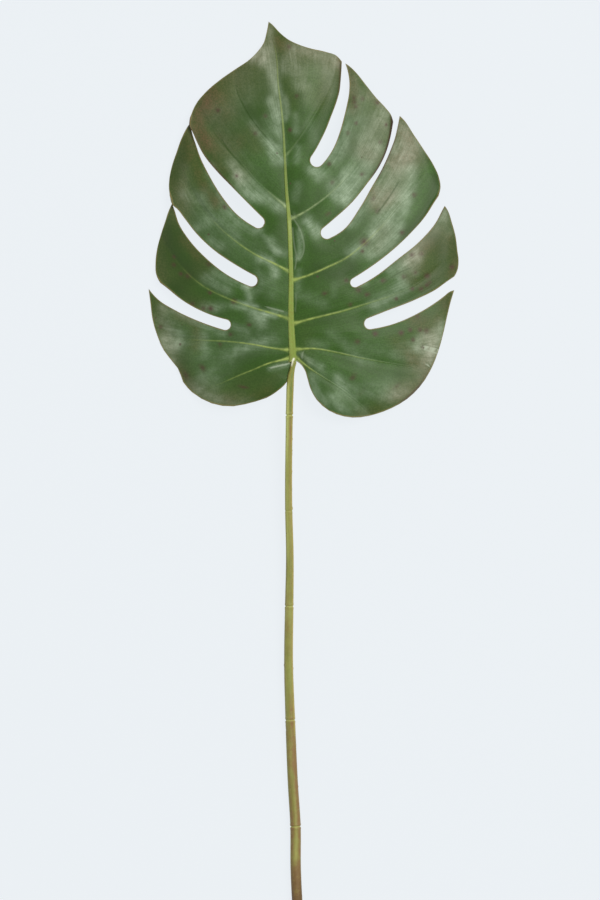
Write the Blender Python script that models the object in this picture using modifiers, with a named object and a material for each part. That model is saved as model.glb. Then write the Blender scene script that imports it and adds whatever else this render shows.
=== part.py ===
"""A cut monstera leaf lying face up: a split, arched blade with raised ribs, on a stalk with five ring joints.

Plan points and sizes are in millimetres from the base of the blade, where the stalk meets it. The blade's tip is
towards +Y, the cut end of the stalk towards -Y, and the upper face is up. build() turns them into metres and puts
the origin under the middle of the whole leaf, on the table.
"""

from dataclasses import dataclass

import bmesh
import bpy
import numpy as np

MM = 0.001
TINY = 1e-9
LEFT, RIGHT = -1, 1

# The midrib from above, its half width at stations up the blade, and where its last two side veins leave it.
MIDRIB = [(0, 0), (-0.5, 11), (-1.5, 34.5), (-1.5, 67), (-2, 89.5), (-3, 112), (-5, 134.5), (-6.5, 162.5),
          (-8, 189.5), (-10, 208), (-11.5, 219), (-14, 249.5), (-18, 265), (-19.5, 272.5)]
MIDRIB_HALF = [(0, 3.3), (20, 2.9), (34, 2.6), (67, 2.1), (112, 1.9), (134, 1.5), (190, 1.0), (220, 0.8),
               (250, 0.5), (272.5, 0)]
FORK, TIP = 164.5, 272.5

# The arch of the blade: height along the midrib, and the fall of each half away from it.
SPINE = [(-45, 15), (0, 18), (60, 22.5), (120, 22.5), (180, 17), (230, 9), (260, 2.3), (272.5, -1.2)]
FALL = {RIGHT: 1.52e-3, LEFT: 1.85e-3}  # mm of fall for each mm squared out from the midrib
CHANNEL_SLOPE, CHANNEL_REACH = 0.16, 22.0  # the halves first rise from the midrib, as a shallow channel
QUILT, QUILT_REACH = 2.0, 15.0  # the blade stands above its side veins, this far from them
CURL, CURL_REACH = 1.3, 6.5  # and turns down at its free edges
TUCK, TUCK_REACH = 5.0, 9.0  # the left lobe tucks its inner edge under the stalk
TUCK_START, TUCK_END = 6.0, 20.0  # from there to there along the edge
SWAY, SWAY_X, SWAY_Y, SWAY_START, SWAY_REACH = 0.7, 23.0, 31.0, 1.3, 40.0  # a slow wave over the whole blade

BLADE = 0.7  # thickness
LANDING, RIB_LANDING = 0.7, 3.0  # depths over which a lobe and its veins flatten where it lies on the table
RIB_RISE, RIB_DEPTH = 0.45, 1.0  # the midrib above and below the blade, for each mm of its half width
VEIN_RISE, VEIN_DEPTH, VEIN_FADE = 0.3, 0.9, 0.9
VEIN_STEP, VEIN_START = 1.0, 4.0  # a side vein's half width along the midrib, and its length to full height

# Steps of the blade's grid.
STATION_PITCH, MARGIN_PITCH = 7.5, 10.5
JOIN_ROWS, ROUND_ROWS, OUTER_ROWS = 4, 3, 9
ACROSS_RIB = 2
LEVEL_BACK, LEAST_JOIN, LEAST_TURN = 0.88, 0.05, 0.06  # how far out its first rows reach on a side vein
MERGE = 0.01

# The stalk from above, as x, y, height of its middle and radius.
STALK = [(0.4, -0.5, 17.4, 1.9), (0.0, -3, 17.4, 2.0), (-0.6, -6.5, 17.2, 2.05), (-1.5, -11, 16.8, 2.5),
         (-2.2, -19, 16.0, 2.9), (-2.6, -30, 15.1, 2.9), (-3, -50.5, 13.7, 2.8), (-3.5, -110.5, 10.5, 2.9),
         (-2.5, -158.5, 8.4, 3.1), (-3, -194.5, 7.1, 3.4), (-3.5, -242.5, 5.7, 3.6), (-2.2, -285, 4.8, 3.9),
         (0, -338.5, 3.95, 4.1), (2, -371, 3.65, 4.2), (2.2, -405, 3.6, 4.2), (4, -440, 3.6, 4.2)]
STALK_BEND, BEND_STEP, STALK_STEP = 24.0, 2.5, 10.0  # closer points down to where the stalk has bent away
STALK_SIDES = 16
# Its ring joints as place and strength, and their profile: steps along the stalk, and what each adds to its radius.
RINGS, RING_CLEAR = ((-42.6, 1.3), (-119, 0.4), (-195.2, 1.0), (-286.3, 1.0), (-371.5, 1.3)), 3.6
RING_STEPS = ((-2.4, 0.0), (-1.3, 0.12), (-0.45, 0.0), (-0.2, -0.35), (0.2, -0.35), (0.45, 0.0), (1.3, 0.12),
              (2.4, 0.0))


@dataclass
class Slot:
    """An open split: the station its inner end points to, and its centre line as (x, y, half width)."""

    station: float
    line: list


@dataclass
class Vein:
    """A side vein: its station, its way out, and the point of the lobe's margin where it ends."""

    station: float
    way: list
    end: int


@dataclass
class Lobe:
    """A finger of the blade: its margin from upper to lower corner, its veins, and the lift of its two sides."""

    margin: list
    veins: list
    upper_lift: float = 0.0
    lower_lift: float = 0.0


@dataclass
class Half:
    """One half of the blade: its lobes from the tip down, the slots between them, and its edge at the base."""

    side: int
    lobes: list
    slots: list
    sinus: list


@dataclass
class Line:
    """A line of the grid from the midrib to the margin: its rows, and the share of the margin where it ends."""

    station: float
    rows: np.ndarray
    place: float
    vein: bool = False
    lift: float = 0.0

RIGHT_SLOTS = [
    Slot(137, [(19, 160.5, 5.4), (23, 166, 5.8), (27.5, 174, 6.0), (32, 184.5, 5.6), (35, 193.5, 5.2),
               (38.5, 205, 4.5), (41, 216, 4.0), (41.5, 225.5, 3.6), (41, 233.5, 2.7)]),
    Slot(85, [(27, 102.5, 4.9), (35.5, 108.5, 5.8), (50, 124.5, 3.9), (60.5, 140, 2.4), (70, 155, 1.5),
              (76.5, 169.5, 1.5), (79.5, 179, 2.0), (81.5, 189, 2.4)]),
    Slot(45.5, [(49.5, 63, 3.8), (62, 70.5, 4.2), (81, 85, 4.1), (97, 99, 4.9), (110, 114, 5.0),
                (116.5, 125.5, 4.6)]),
    Slot(20, [(61.5, 30.5, 4.6), (75.5, 34.8, 5.8), (100, 45, 5.4), (118.5, 56, 4.2), (123, 59.5, 4.1)]),
]
RIGHT_SINUS = [(3.2, 0.9), (6.5, -2), (9.5, -6.5), (11.5, -13), (14, -21.5), (19, -30.5)]
RIGHT_LOBES = [
    Lobe([(-19.5, 272.5), (-16.5, 270), (-11, 264), (-3, 257.5), (3, 254.5), (13, 251), (26.5, 248),
          (35, 245), (38.5, 240.5)],
         [Vein(FORK, [(10.5, 186.5), (20, 203), (29, 221.5)], 7)], 0, 1.5),
    Lobe([(42, 239), (45.5, 236.5), (51, 231), (58.5, 221.5), (66.5, 211.5), (74.5, 203), (78.5, 197.5),
          (79.5, 192)],
         [Vein(113.5, [(10.5, 120), (20, 126.5), (34.5, 138.5), (47, 153.5), (58.5, 172), (68, 190.5)], 5)],
         -1.5, 2.0),
    Lobe([(85.5, 197), (89, 193.5), (96, 183), (105, 169.5), (112, 158.5), (117, 147), (118, 140), (116, 133)],
         [Vein(65, [(14.5, 69.5), (27, 75), (43, 83), (54.5, 92), (67, 104), (84, 124), (100, 142.5)], 4)],
         -2.0, 2.5),
    Lobe([(121.5, 125), (124, 121), (127, 112), (130, 101), (131.5, 89.5), (132.5, 80), (131.5, 73.5),
          (129, 68.5)],
         [Vein(30.5, [(16, 34.5), (34.5, 39), (61, 47), (79, 53), (97.5, 61.5), (116, 75)], 4)], -1.5, 2.0),
    Lobe([(129, 57.5), (126.5, 49.5), (123.5, 37.5), (120.5, 24), (116.5, 9.5), (110.5, -5.5), (102.5, -18.5),
          (92, -29), (77.5, -37.5), (63, -42.5), (49.5, -44.5), (38.5, -43), (28, -38.5), (19, -30.5)],
         [Vein(9.5, [(14.5, 10.5), (34.5, 7.5), (54.5, 3), (80, -1.5), (97.5, -4)], 5),
          Vein(3, [(13, -5), (25, -13), (36, -20), (45.5, -27), (55, -35)], 9)], -1.0, -1.0),
]

LEFT_SLOTS = [
    Slot(94, [(-27.5, 111, 4.9), (-40, 121.5, 6.3), (-53, 136, 5.5), (-64, 150.5, 3.5), (-73, 165, 1.7),
              (-77, 174.5, 0.9), (-80.5, 184, 0.4), (-82, 189, -0.4)]),
    Slot(51, [(-33, 64.5, 4.7), (-48, 72.5, 5.2), (-67, 86.5, 4.5), (-80.5, 100.5, 3.9), (-88.5, 112, 3.2),
              (-93.5, 121.5, 1.3), (-96, 125.5, 0)]),
    Slot(20, [(-54, 29.5, 4.3), (-73, 36, 4.2), (-91.5, 45.5, 5.0), (-104, 54.5, 6.0)]),
]
LEFT_SINUS = [(-3.2, 0.9), (-2.8, -2), (-2.6, -5), (-2.9, -9), (-3.8, -13), (-6.5, -17.5), (-12.5, -23.5),
              (-21.5, -29)]
LEFT_LOBES = [
    Lobe([(-19.5, 272.5), (-21, 264), (-23.5, 255), (-28, 248.5), (-35, 241.5), (-45.5, 234.5), (-59, 225),
          (-70.5, 215), (-77.5, 206.5), (-81, 198.5), (-82, 193)],
         [Vein(FORK, [(-17, 174.5), (-29.5, 189), (-39, 204), (-45, 217.5)], 5),
          Vein(124, [(-17, 133), (-29, 143.5), (-44, 161), (-57, 175), (-68, 190.5)], 8)], 0, 4.0),
    Lobe([(-79, 194.5), (-84, 188.5), (-89, 179), (-93, 168), (-97, 156), (-99, 145), (-99, 137.5),
          (-96.5, 129.5)],
         [Vein(72, [(-16, 78.5), (-29.5, 85), (-47, 97), (-58.5, 107), (-70.5, 121.5), (-79, 137),
                    (-88, 155)], 4)], -3.0, 3.5),
    Lobe([(-95, 129), (-99, 121.5), (-102.5, 111.5), (-106, 101), (-109, 89), (-110, 78.5), (-109.5, 70.5),
          (-106, 63.5)],
         [Vein(34.5, [(-17, 38.5), (-30.5, 42.5), (-54.5, 51.5), (-71, 60), (-87, 73.5), (-98.5, 88)], 3)],
         -3.5, 2.5),
    Lobe([(-115.5, 58.5), (-114, 47), (-112.5, 35), (-109, 22.5), (-104, 10.5), (-97, 1), (-91, -7),
          (-88.5, -15), (-82.5, -22.5), (-72, -30), (-60, -34.5), (-48, -35.5), (-34.5, -33), (-21.5, -29)],
         [Vein(9.5, [(-17.5, 11), (-30.5, 13.5), (-56, 16.5), (-68, 17), (-89, 18.5)], 3),
          Vein(3, [(-10.5, 1), (-18.5, -1), (-32, -6.5), (-44.5, -11.5), (-58.5, -17.5), (-72, -21.5)], 8)],
         -2.0, -3.0),
]

HALVES = (Half(RIGHT, RIGHT_LOBES, RIGHT_SLOTS, RIGHT_SINUS), Half(LEFT, LEFT_LOBES, LEFT_SLOTS, LEFT_SINUS))


def smooth_curve(points, knots, at):
    """A cubic through the points at their knots, with the slope of a parabola through each three neighbours."""
    points, knots, at = np.asarray(points, float), np.asarray(knots, float), np.asarray(at, float)
    slopes = np.gradient(points, knots, axis=0, edge_order=2)
    k = np.clip(np.searchsorted(knots, at, side="right") - 1, 0, len(knots) - 2)
    step = (knots[k + 1] - knots[k])[:, None]
    s = (at - knots[k])[:, None] / step
    return ((2 * s**3 - 3 * s**2 + 1) * points[k] + (s**3 - 2 * s**2 + s) * step * slopes[k]
            + (3 * s**2 - 2 * s**3) * points[k + 1] + (s**3 - s**2) * step * slopes[k + 1])


def run_along(points):
    """The distance along a chain of points."""
    return np.concatenate([[0.0], np.cumsum(np.linalg.norm(np.diff(points, axis=0), axis=1))])


def shares_along(points):
    run = run_along(points)
    return run / run[-1]


def value_at(table, at):
    """A smooth value read from a table of (place, value)."""
    table, at = np.array(table, float), np.asarray(at, float)
    inside = np.clip(at, table[0, 0], table[-1, 0])
    return smooth_curve(table[:, 1:], table[:, 0], inside.ravel()).reshape(at.shape)


def distance_to(paths, x, y):
    """The distance in plan from each point to the nearest of some chains of points."""
    starts = np.vstack([path[:-1] for path in paths])
    ways = np.vstack([np.diff(path, axis=0) for path in paths])
    offset = np.stack([x, y], axis=-1)[..., None, :] - starts
    squared = np.maximum((ways**2).sum(axis=-1), TINY)
    share = np.clip((offset * ways).sum(axis=-1) / squared, 0, 1)
    return np.linalg.norm(offset - share[..., None] * ways, axis=-1).min(axis=-1)


def midrib_point(station):
    table = np.array(MIDRIB, float)
    return smooth_curve(table, table[:, 1], np.clip(np.atleast_1d(station), 0, TIP))


def midrib_side(station, side):
    """The edge of the midrib on one side, at stations up the blade."""
    station = np.atleast_1d(station).astype(float)
    ahead = midrib_point(station + 1) - midrib_point(station - 1)
    ahead /= np.linalg.norm(ahead, axis=1)[:, None]
    out = np.stack([ahead[:, 1], -ahead[:, 0]], axis=1) * side
    return midrib_point(station) + out * value_at(MIDRIB_HALF, station)[:, None]


def slot_edge(slot, side, edge, corner):
    """One side of a slot: straight to its inner end, a quarter turn round it, then along the open edge."""
    join = np.linspace(0, 1, JOIN_ROWS + 1)[:, None]
    turn = np.linspace(0, 1, ROUND_ROWS + 1)[1:, None] * np.pi / 2
    outer = np.linspace(0, 1, OUTER_ROWS + 1)[1:]
    line = np.array(slot.line, float)
    centre, half = line[:, :2], line[:, 2:]
    ahead = np.gradient(centre, run_along(centre), axis=0)
    ahead /= np.linalg.norm(ahead, axis=1)[:, None]
    across = np.stack([-ahead[:, 1], ahead[:, 0]], axis=1) * edge
    start = midrib_side(slot.station, side)[0]
    inner_end = centre[0] - half[0] * ahead[0]
    arc = centre[0] + half[0] * (across[0] * np.sin(turn) - ahead[0] * np.cos(turn))
    way = np.vstack([centre + across * half, corner])
    return np.vstack([start + join * (inner_end - start), arc, smooth_curve(way, shares_along(way), outer)])


def level_rows(join, turned):
    """The shares of a line at which its rows lie, given where it is level with a slot's inner end and turn."""
    return np.concatenate([np.linspace(0, join, JOIN_ROWS, endpoint=False),
                           np.linspace(join, turned, ROUND_ROWS, endpoint=False),
                           np.linspace(turned, 1, OUTER_ROWS + 1)])


def vein_rows(way, edges):
    """A side vein as a line of the grid, its rows level with the inner ends of the slots beside it."""
    places = np.linspace(0, 1, 101)
    dense = smooth_curve(way, shares_along(way), places)
    level = (JOIN_ROWS, JOIN_ROWS + ROUND_ROWS)
    feet = [[np.argmin(np.linalg.norm(dense - edge[row], axis=1)) for row in level] for edge in edges]
    join, turned = places[np.min(feet, axis=0)]
    join = max(LEVEL_BACK * join, LEAST_JOIN)
    shares = level_rows(join, max(turned, join + LEAST_TURN))
    return smooth_curve(way, shares_along(way), shares)


def lobe_lines(half, index):
    """The lines of one lobe from its upper side to its lower, and the shares of its slots where its rows lie."""
    lobe, side = half.lobes[index], half.side
    margin = np.array(lobe.margin, float)
    place = shares_along(margin)
    upper = half.slots[index - 1] if index else None
    lower = half.slots[index] if index < len(half.slots) else None
    above = slot_edge(upper, side, -side, margin[0]) if upper else None
    below = slot_edge(lower, side, side, margin[-1]) if lower else None
    edges = [edge for edge in (above, below) if edge is not None]
    shares = np.mean([shares_along(edge) for edge in edges], axis=0)
    if upper is None:
        above = midrib_side(FORK + fork_rows() * (TIP - FORK), side)
    if lower is None:
        below = smooth_curve(half.sinus, shares_along(half.sinus), shares)
    lines = [Line(upper.station if upper else FORK, above, 0.0, lift=lobe.upper_lift)]
    for vein in lobe.veins:
        rows = vein_rows(vein_path(half, lobe, vein), edges)
        lines.append(Line(vein.station, rows, place[vein.end], vein=True))
    lines.append(Line(lower.station if lower else 0.0, below, 1.0, lift=lobe.lower_lift))
    return lines, shares


def fork_rows():
    """The rows along the midrib above the fork, alike on both halves because they share them."""
    return level_rows(LEAST_JOIN, LEAST_JOIN + LEAST_TURN)


def vein_path(half, lobe, vein):
    return np.vstack([midrib_side(vein.station, half.side), vein.way, lobe.margin[vein.end]])


def all_stations():
    """Where columns leave the midrib below the fork, from the top down: alike on both halves, and closer where a
    lobe is long on its margin."""
    fixed, needs = {0.0, FORK}, []
    for half in HALVES:
        for index, lobe in enumerate(half.lobes):
            lines = lobe_lines(half, index)[0]
            length = run_along(np.array(lobe.margin))[-1]
            fixed |= {float(line.station) for line in lines}
            fixed |= {line.station + step for line in lines if line.vein and line.station < FORK
                      for step in (-VEIN_STEP, VEIN_STEP)}
            needs += [(b.station, a.station, (b.place - a.place) * length) for a, b in zip(lines, lines[1:])]
    stations = [0.0]
    for low, high in zip(sorted(fixed), sorted(fixed)[1:]):
        margin = max(length * (high - low) / (top - bottom)
                     for bottom, top, length in needs if top > bottom and bottom <= low and high <= top)
        steps = int(np.ceil(max((high - low) / STATION_PITCH, margin / MARGIN_PITCH)))
        stations.extend(np.linspace(low, high, steps + 1)[1:])
    return np.array(stations[::-1])


def columns_between(first, second, stations):
    """The shares of the way from one line to the next at which columns lie."""
    if first.station > second.station:
        inside = stations[(stations <= first.station) & (stations >= second.station)]
        return (first.station - inside) / (first.station - second.station)
    width = np.linalg.norm(first.rows[-1] - second.rows[-1])  # the fan above the fork
    beside = VEIN_STEP / width
    return np.concatenate([np.linspace(0, 1 - beside, int(np.ceil(width / MARGIN_PITCH)) + 1), [1.0]])


def face_height(half, edges, x, y):
    """Height of the upper face in plan: arch, channel at the midrib, slow wave, quilting and turned edges."""
    out = np.abs(x - midrib_point(y.ravel())[:, 0].reshape(x.shape))
    channel = CHANNEL_SLOPE * out * np.exp(-out / CHANNEL_REACH)
    sway = SWAY * np.sin(x / SWAY_X + SWAY_START) * np.sin(y / SWAY_Y) * np.clip(out / SWAY_REACH, 0, 1)
    veins = [vein_path(half, lobe, vein) for lobe in half.lobes for vein in lobe.veins]
    quilt = QUILT * (1 - np.exp(-(distance_to(veins, x, y) / QUILT_REACH) ** 2))
    quilt *= 1 - np.exp(-out / QUILT_REACH)
    curl = CURL * np.exp(-(distance_to(edges, x, y) / CURL_REACH) ** 2)
    height = value_at(SPINE, y) - FALL[half.side] * out**2 + channel + sway + quilt - curl
    if half.side == LEFT:
        start = np.hypot(x - half.sinus[0][0], y - half.sinus[0][1])
        near = distance_to([np.array(half.sinus, float)], x, y)
        along = (1 - np.exp(-(start / TUCK_START) ** 2)) * np.exp(-(start / TUCK_END) ** 2)
        height = height - TUCK * np.exp(-(near / TUCK_REACH) ** 2) * along
    return height


def land(height):
    """Flattens what would sink below the table, over a short depth, so that a lobe lies flat on it."""
    above = height - BLADE
    eased = (above + LANDING) ** 2 / (4 * LANDING)
    return BLADE + np.where(above > LANDING, above, np.where(above < -LANDING, 0.0, eased))


def free_edges(lobe, lines):
    """The open boundary of a lobe: its margin, and its slots from their inner ends out."""
    sides = [line for line in (lines[0], lines[-1]) if line.station != FORK]
    return [np.array(lobe.margin, float), *(line.rows[JOIN_ROWS if line.station else 0:] for line in sides)]


def sector_grid(half, first, second, lobe, lines, shares, stations):
    """The grid between two lines of a lobe: x, y, height and thickness of the upper face."""
    u = columns_between(first, second, stations)[:, None]
    v = shares[None, :]
    plan = (1 - u[..., None]) * first.rows + u[..., None] * second.rows
    at = first.station + u[:, 0] * (second.station - first.station)
    if first.station > second.station:
        plan += (midrib_side(at, half.side) - plan[:, 0])[:, None] * (1 - v[..., None]) ** 3
    margin = np.array(lobe.margin, float)
    outer = smooth_curve(margin, shares_along(margin), first.place + u[:, 0] * (second.place - first.place))
    plan += (outer - plan[:, -1])[:, None] * v[..., None] ** 2
    x, y = plan[..., 0], plan[..., 1]
    opened = np.clip((v - shares[JOIN_ROWS]) / (1 - shares[JOIN_ROWS]), 0, 1) ** 2
    lift = (first.lift * (1 - u) ** 3 + second.lift * u**3) * opened
    rib = np.zeros(x.shape)
    for column, line in ((0, first), (-1, second)):
        start = 1 - np.exp(-run_along(plan[column]) / VEIN_START)
        rib[column] = line.vein * start * (1 - VEIN_FADE * v[0])
    height = land(face_height(half, free_edges(lobe, lines), x, y) + lift)
    rib *= np.clip((height - BLADE) / RIB_LANDING, 0, 1)
    return x, y, height + VEIN_RISE * rib, BLADE + VEIN_DEPTH * rib


def midrib_grid(stations, edges):
    """The midrib as a strip from edge to edge, crowned above and deeper below."""
    across = np.linspace(-1, 1, 2 * ACROSS_RIB + 1)[None, :]
    centre = midrib_point(stations)[:, None]
    left, right = (midrib_side(stations, side)[:, None] for side in (LEFT, RIGHT))
    plan = centre + np.where(across < 0, -across, 0)[..., None] * (left - centre)
    plan += np.where(across > 0, across, 0)[..., None] * (right - centre)
    x, y = plan[..., 0], plan[..., 1]
    face = land(np.where(across < 0, face_height(HALVES[1], edges[LEFT], x, y),
                         face_height(HALVES[0], edges[RIGHT], x, y)))
    crown = value_at(MIDRIB_HALF, stations)[:, None] * np.sqrt(1 - across**2)
    crown = crown * np.clip((face - BLADE) / RIB_LANDING, 0, 1)
    return x, y, face + RIB_RISE * crown, BLADE + RIB_DEPTH * crown


def blade_grids():
    """Every grid of the upper face, which share their edge points."""
    stations = all_stations()
    grids, edges = [], {LEFT: [], RIGHT: []}
    for half in HALVES:
        for index, lobe in enumerate(half.lobes):
            lines, shares = lobe_lines(half, index)
            edges[half.side] += free_edges(lobe, lines)
            grids += [sector_grid(half, first, second, lobe, lines, shares, stations)
                      for first, second in zip(lines, lines[1:])]
    above = FORK + fork_rows()[:0:-1] * (TIP - FORK)
    return [*grids, midrib_grid(np.concatenate([above, stations]), edges)]


def new_object(name, data, collection, material):
    data.materials.append(material)
    obj = bpy.data.objects.new(name, data)
    collection.objects.link(obj)
    return obj


def make_blade(collection, material):
    """The blade: its upper face as joined grids, given its thickness downwards by Solidify."""
    points, faces, depths = [], [], []
    for x, y, height, depth in blade_grids():
        index = len(depths) + np.arange(x.size).reshape(x.shape)
        quads = np.stack([index[:-1, :-1], index[1:, :-1], index[1:, 1:], index[:-1, 1:]], axis=-1)
        points.append(np.stack([x, y, height], axis=-1).reshape(-1, 3) * MM)
        depths.extend(depth.ravel())
        faces.extend(quads.reshape(-1, 4).tolist())
    mesh = bpy.data.meshes.new("leaf_blade")
    mesh.from_pydata(np.vstack(points), [], faces)
    blade = new_object("leaf_blade", mesh, collection, material)
    group = blade.vertex_groups.new(name="thickness")
    for vertex, depth in enumerate(depths):
        group.add([vertex], float(depth / max(depths)), "REPLACE")
    bm = bmesh.new()
    bm.from_mesh(mesh)
    bmesh.ops.remove_doubles(bm, verts=bm.verts, dist=MERGE * MM)
    bmesh.ops.triangulate(bm, faces=bm.faces, quad_method="BEAUTY")
    bmesh.ops.recalc_face_normals(bm, faces=bm.faces)
    if sum(face.normal.z for face in bm.faces) < 0:
        bmesh.ops.reverse_faces(bm, faces=bm.faces)
    bm.to_mesh(mesh)
    bm.free()
    wall = blade.modifiers.new("thickness", "SOLIDIFY")
    wall.thickness = float(max(depths)) * MM
    wall.offset = -1
    wall.vertex_group = group.name
    mesh.shade_smooth()
    return blade


def stalk_points():
    """The stalk's middle line and radius, in even steps with closer ones at each ring joint."""
    table = np.array(STALK, float)
    down = -table[:, 1]
    bend = np.linspace(down[0], STALK_BEND, int(STALK_BEND / BEND_STEP), endpoint=False)
    even = np.linspace(STALK_BEND, down[-1], int((down[-1] - STALK_BEND) / STALK_STEP) + 1)
    clear = [y for y in even if all(abs(y + ring) > RING_CLEAR for ring, _ in RINGS)]
    ringed = [-ring + step for ring, _ in RINGS for step, _ in RING_STEPS]
    at = np.array(sorted([*bend, *clear, *ringed]))
    path = smooth_curve(table, down, at)
    for ring, strength in RINGS:
        for step, more in RING_STEPS:
            path[np.isclose(at, -ring + step), 3] += strength * more
    return path


def make_stalk(collection, material):
    """The stalk: a round tube along its line, made flat under its cut end, where it lies on the table."""
    path = stalk_points()
    curve = bpy.data.curves.new("leaf_stalk", "CURVE")
    curve.dimensions = "3D"
    curve.bevel_depth = MM
    curve.bevel_resolution = (STALK_SIDES - 4) // 2
    curve.use_fill_caps = True
    spline = curve.splines.new("POLY")
    spline.points.add(len(path) - 1)
    for point, (x, y, z, radius) in zip(spline.points, path):
        point.co = (x * MM, y * MM, z * MM, 1)
        point.radius = radius
    guide = bpy.data.objects.new("stalk_line", curve)
    collection.objects.link(guide)
    bpy.context.view_layer.update()
    mesh = bpy.data.meshes.new_from_object(guide.evaluated_get(bpy.context.evaluated_depsgraph_get()))
    bpy.data.objects.remove(guide)
    bm = bmesh.new()
    bm.from_mesh(mesh)
    bmesh.ops.remove_doubles(bm, verts=bm.verts, dist=MERGE * MM)
    for vertex in bm.verts:
        vertex.co.z = max(vertex.co.z, 0.0)
    bmesh.ops.recalc_face_normals(bm, faces=bm.faces)
    bm.to_mesh(mesh)
    bm.free()
    mesh.name = "leaf_stalk"
    mesh.materials.clear()
    mesh.shade_smooth()
    mesh.set_sharp_from_angle(angle=np.radians(40))
    return new_object("leaf_stalk", mesh, collection, material)


def leaf_material(name, colour, roughness):
    material = bpy.data.materials.new(name)
    material.use_nodes = True
    shader = material.node_tree.nodes["Principled BSDF"]
    shader.inputs["Base Color"].default_value = (*colour, 1)
    shader.inputs["Roughness"].default_value = roughness
    shader.inputs["Metallic"].default_value = 0
    return material


def build():
    for obj in list(bpy.data.objects):
        bpy.data.objects.remove(obj)
    leaf = bpy.data.collections.new("monstera_leaf")
    bpy.context.scene.collection.children.link(leaf)
    pieces = [make_blade(leaf, leaf_material("leaf_green", (0.06, 0.13, 0.035), 0.42)),
              make_stalk(leaf, leaf_material("stalk_green", (0.25, 0.31, 0.06), 0.5))]
    bpy.context.view_layer.update()
    corners = np.vstack([np.array([corner[:] for corner in piece.bound_box]) for piece in pieces])
    middle = (corners.min(axis=0) + corners.max(axis=0)) / 2
    stand = bpy.data.objects.new("leaf", None)
    leaf.objects.link(stand)
    stand.location = (-middle[0], -middle[1], 0)
    for piece in pieces:
        piece.parent = stand


build()
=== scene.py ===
"""Dresses the packed monstera leaf: a finer blade with its veins, folds, painted sheen and freckles, a finer
stalk with its ring joints and streaks, and a pale stage seen from straight above.

Plan points and sizes are in millimetres from the base of the blade, where the stalk meets it. The blade's tip
is towards +Y, the cut end of the stalk towards -Y, and the upper face is up. BASE puts them into the row
frame.
"""

from dataclasses import dataclass
from functools import partialmethod

import bmesh
import bpy
import numpy as np
from bpy.props import FloatProperty, FloatVectorProperty, PointerProperty
from bpy.types import Operator, Panel, PropertyGroup
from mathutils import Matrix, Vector


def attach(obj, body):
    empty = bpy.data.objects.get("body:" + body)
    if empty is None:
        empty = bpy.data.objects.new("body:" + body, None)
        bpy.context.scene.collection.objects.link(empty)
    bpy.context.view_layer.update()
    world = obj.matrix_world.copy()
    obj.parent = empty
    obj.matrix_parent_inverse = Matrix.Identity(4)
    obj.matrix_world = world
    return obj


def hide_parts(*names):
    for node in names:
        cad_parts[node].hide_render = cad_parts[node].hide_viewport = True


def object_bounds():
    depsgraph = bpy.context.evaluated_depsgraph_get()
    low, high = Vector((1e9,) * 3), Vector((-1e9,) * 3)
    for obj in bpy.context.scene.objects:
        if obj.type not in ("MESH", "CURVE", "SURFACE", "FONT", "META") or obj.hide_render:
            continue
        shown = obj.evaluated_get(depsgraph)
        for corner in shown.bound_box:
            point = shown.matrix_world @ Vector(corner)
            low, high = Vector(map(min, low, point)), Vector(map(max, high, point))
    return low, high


bl_info = {
    "name": "Monstera Leaf Dressing",
    "version": (1, 0, 0),
    "blender": (4, 5, 0),
    "location": "3D View > Sidebar > Leaf",
    "description": "Dresses the solids of a cut monstera leaf with fine relief, colour and a pale studio",
    "category": "Object",
}

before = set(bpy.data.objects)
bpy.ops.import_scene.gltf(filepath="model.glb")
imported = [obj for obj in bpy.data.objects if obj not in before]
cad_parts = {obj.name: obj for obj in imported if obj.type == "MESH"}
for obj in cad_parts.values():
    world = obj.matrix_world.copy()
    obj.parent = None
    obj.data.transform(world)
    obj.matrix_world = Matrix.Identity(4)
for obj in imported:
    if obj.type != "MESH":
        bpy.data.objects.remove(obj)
CAD_LOW, CAD_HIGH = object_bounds()

MM = 0.001
TINY = 1e-9
LEFT, RIGHT = -1, 1
BASE = (-8.5094, 83.8921)  # the base of the blade in the row frame

# The midrib from above, its half width at stations up the blade, and where its last two side veins leave it.
MIDRIB = [(0, 0), (-0.5, 11), (-1.5, 34.5), (-1.5, 67), (-2, 89.5), (-3, 112), (-5, 134.5), (-6.5, 162.5),
          (-8, 189.5), (-10, 208), (-11.5, 219), (-14, 249.5), (-18, 265), (-19.5, 272.5)]
MIDRIB_HALF = [(0, 3.3), (20, 2.9), (34, 2.6), (67, 2.1), (112, 1.9), (134, 1.5), (190, 1.0), (220, 0.8),
               (250, 0.5), (272.5, 0)]
FORK, TIP = 164.5, 272.5

# The arch of the blade: height along the midrib, and the fall of each half away from it.
SPINE = [(-45, 15), (0, 18), (60, 22.5), (120, 22.5), (180, 17), (230, 9), (260, 2.3), (272.5, -1.2)]
FALL = {RIGHT: 1.52e-3, LEFT: 1.85e-3}  # mm of fall for each mm squared out from the midrib
CHANNEL_SLOPE, CHANNEL_REACH = 0.16, 22.0  # the halves first rise from the midrib, as a shallow channel
QUILT, QUILT_REACH = 2.0, 15.0  # the blade stands above its side veins, this far from them
CURL, CURL_REACH = 1.3, 6.5  # and turns down at its free edges
TUCK, TUCK_REACH = 0.5, 5.0  # the left lobe turns its inner edge down against the stalk
TUCK_START, TUCK_END = 6.0, 20.0  # from there to there along the edge
SWAY, SWAY_X, SWAY_Y, SWAY_START, SWAY_REACH = 0.7, 23.0, 31.0, 1.3, 40.0  # a slow wave over the whole blade
LANDING, RIB_LANDING = 2.5, 3.0  # depths over which a lobe and its veins flatten where it lies on the table

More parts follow.
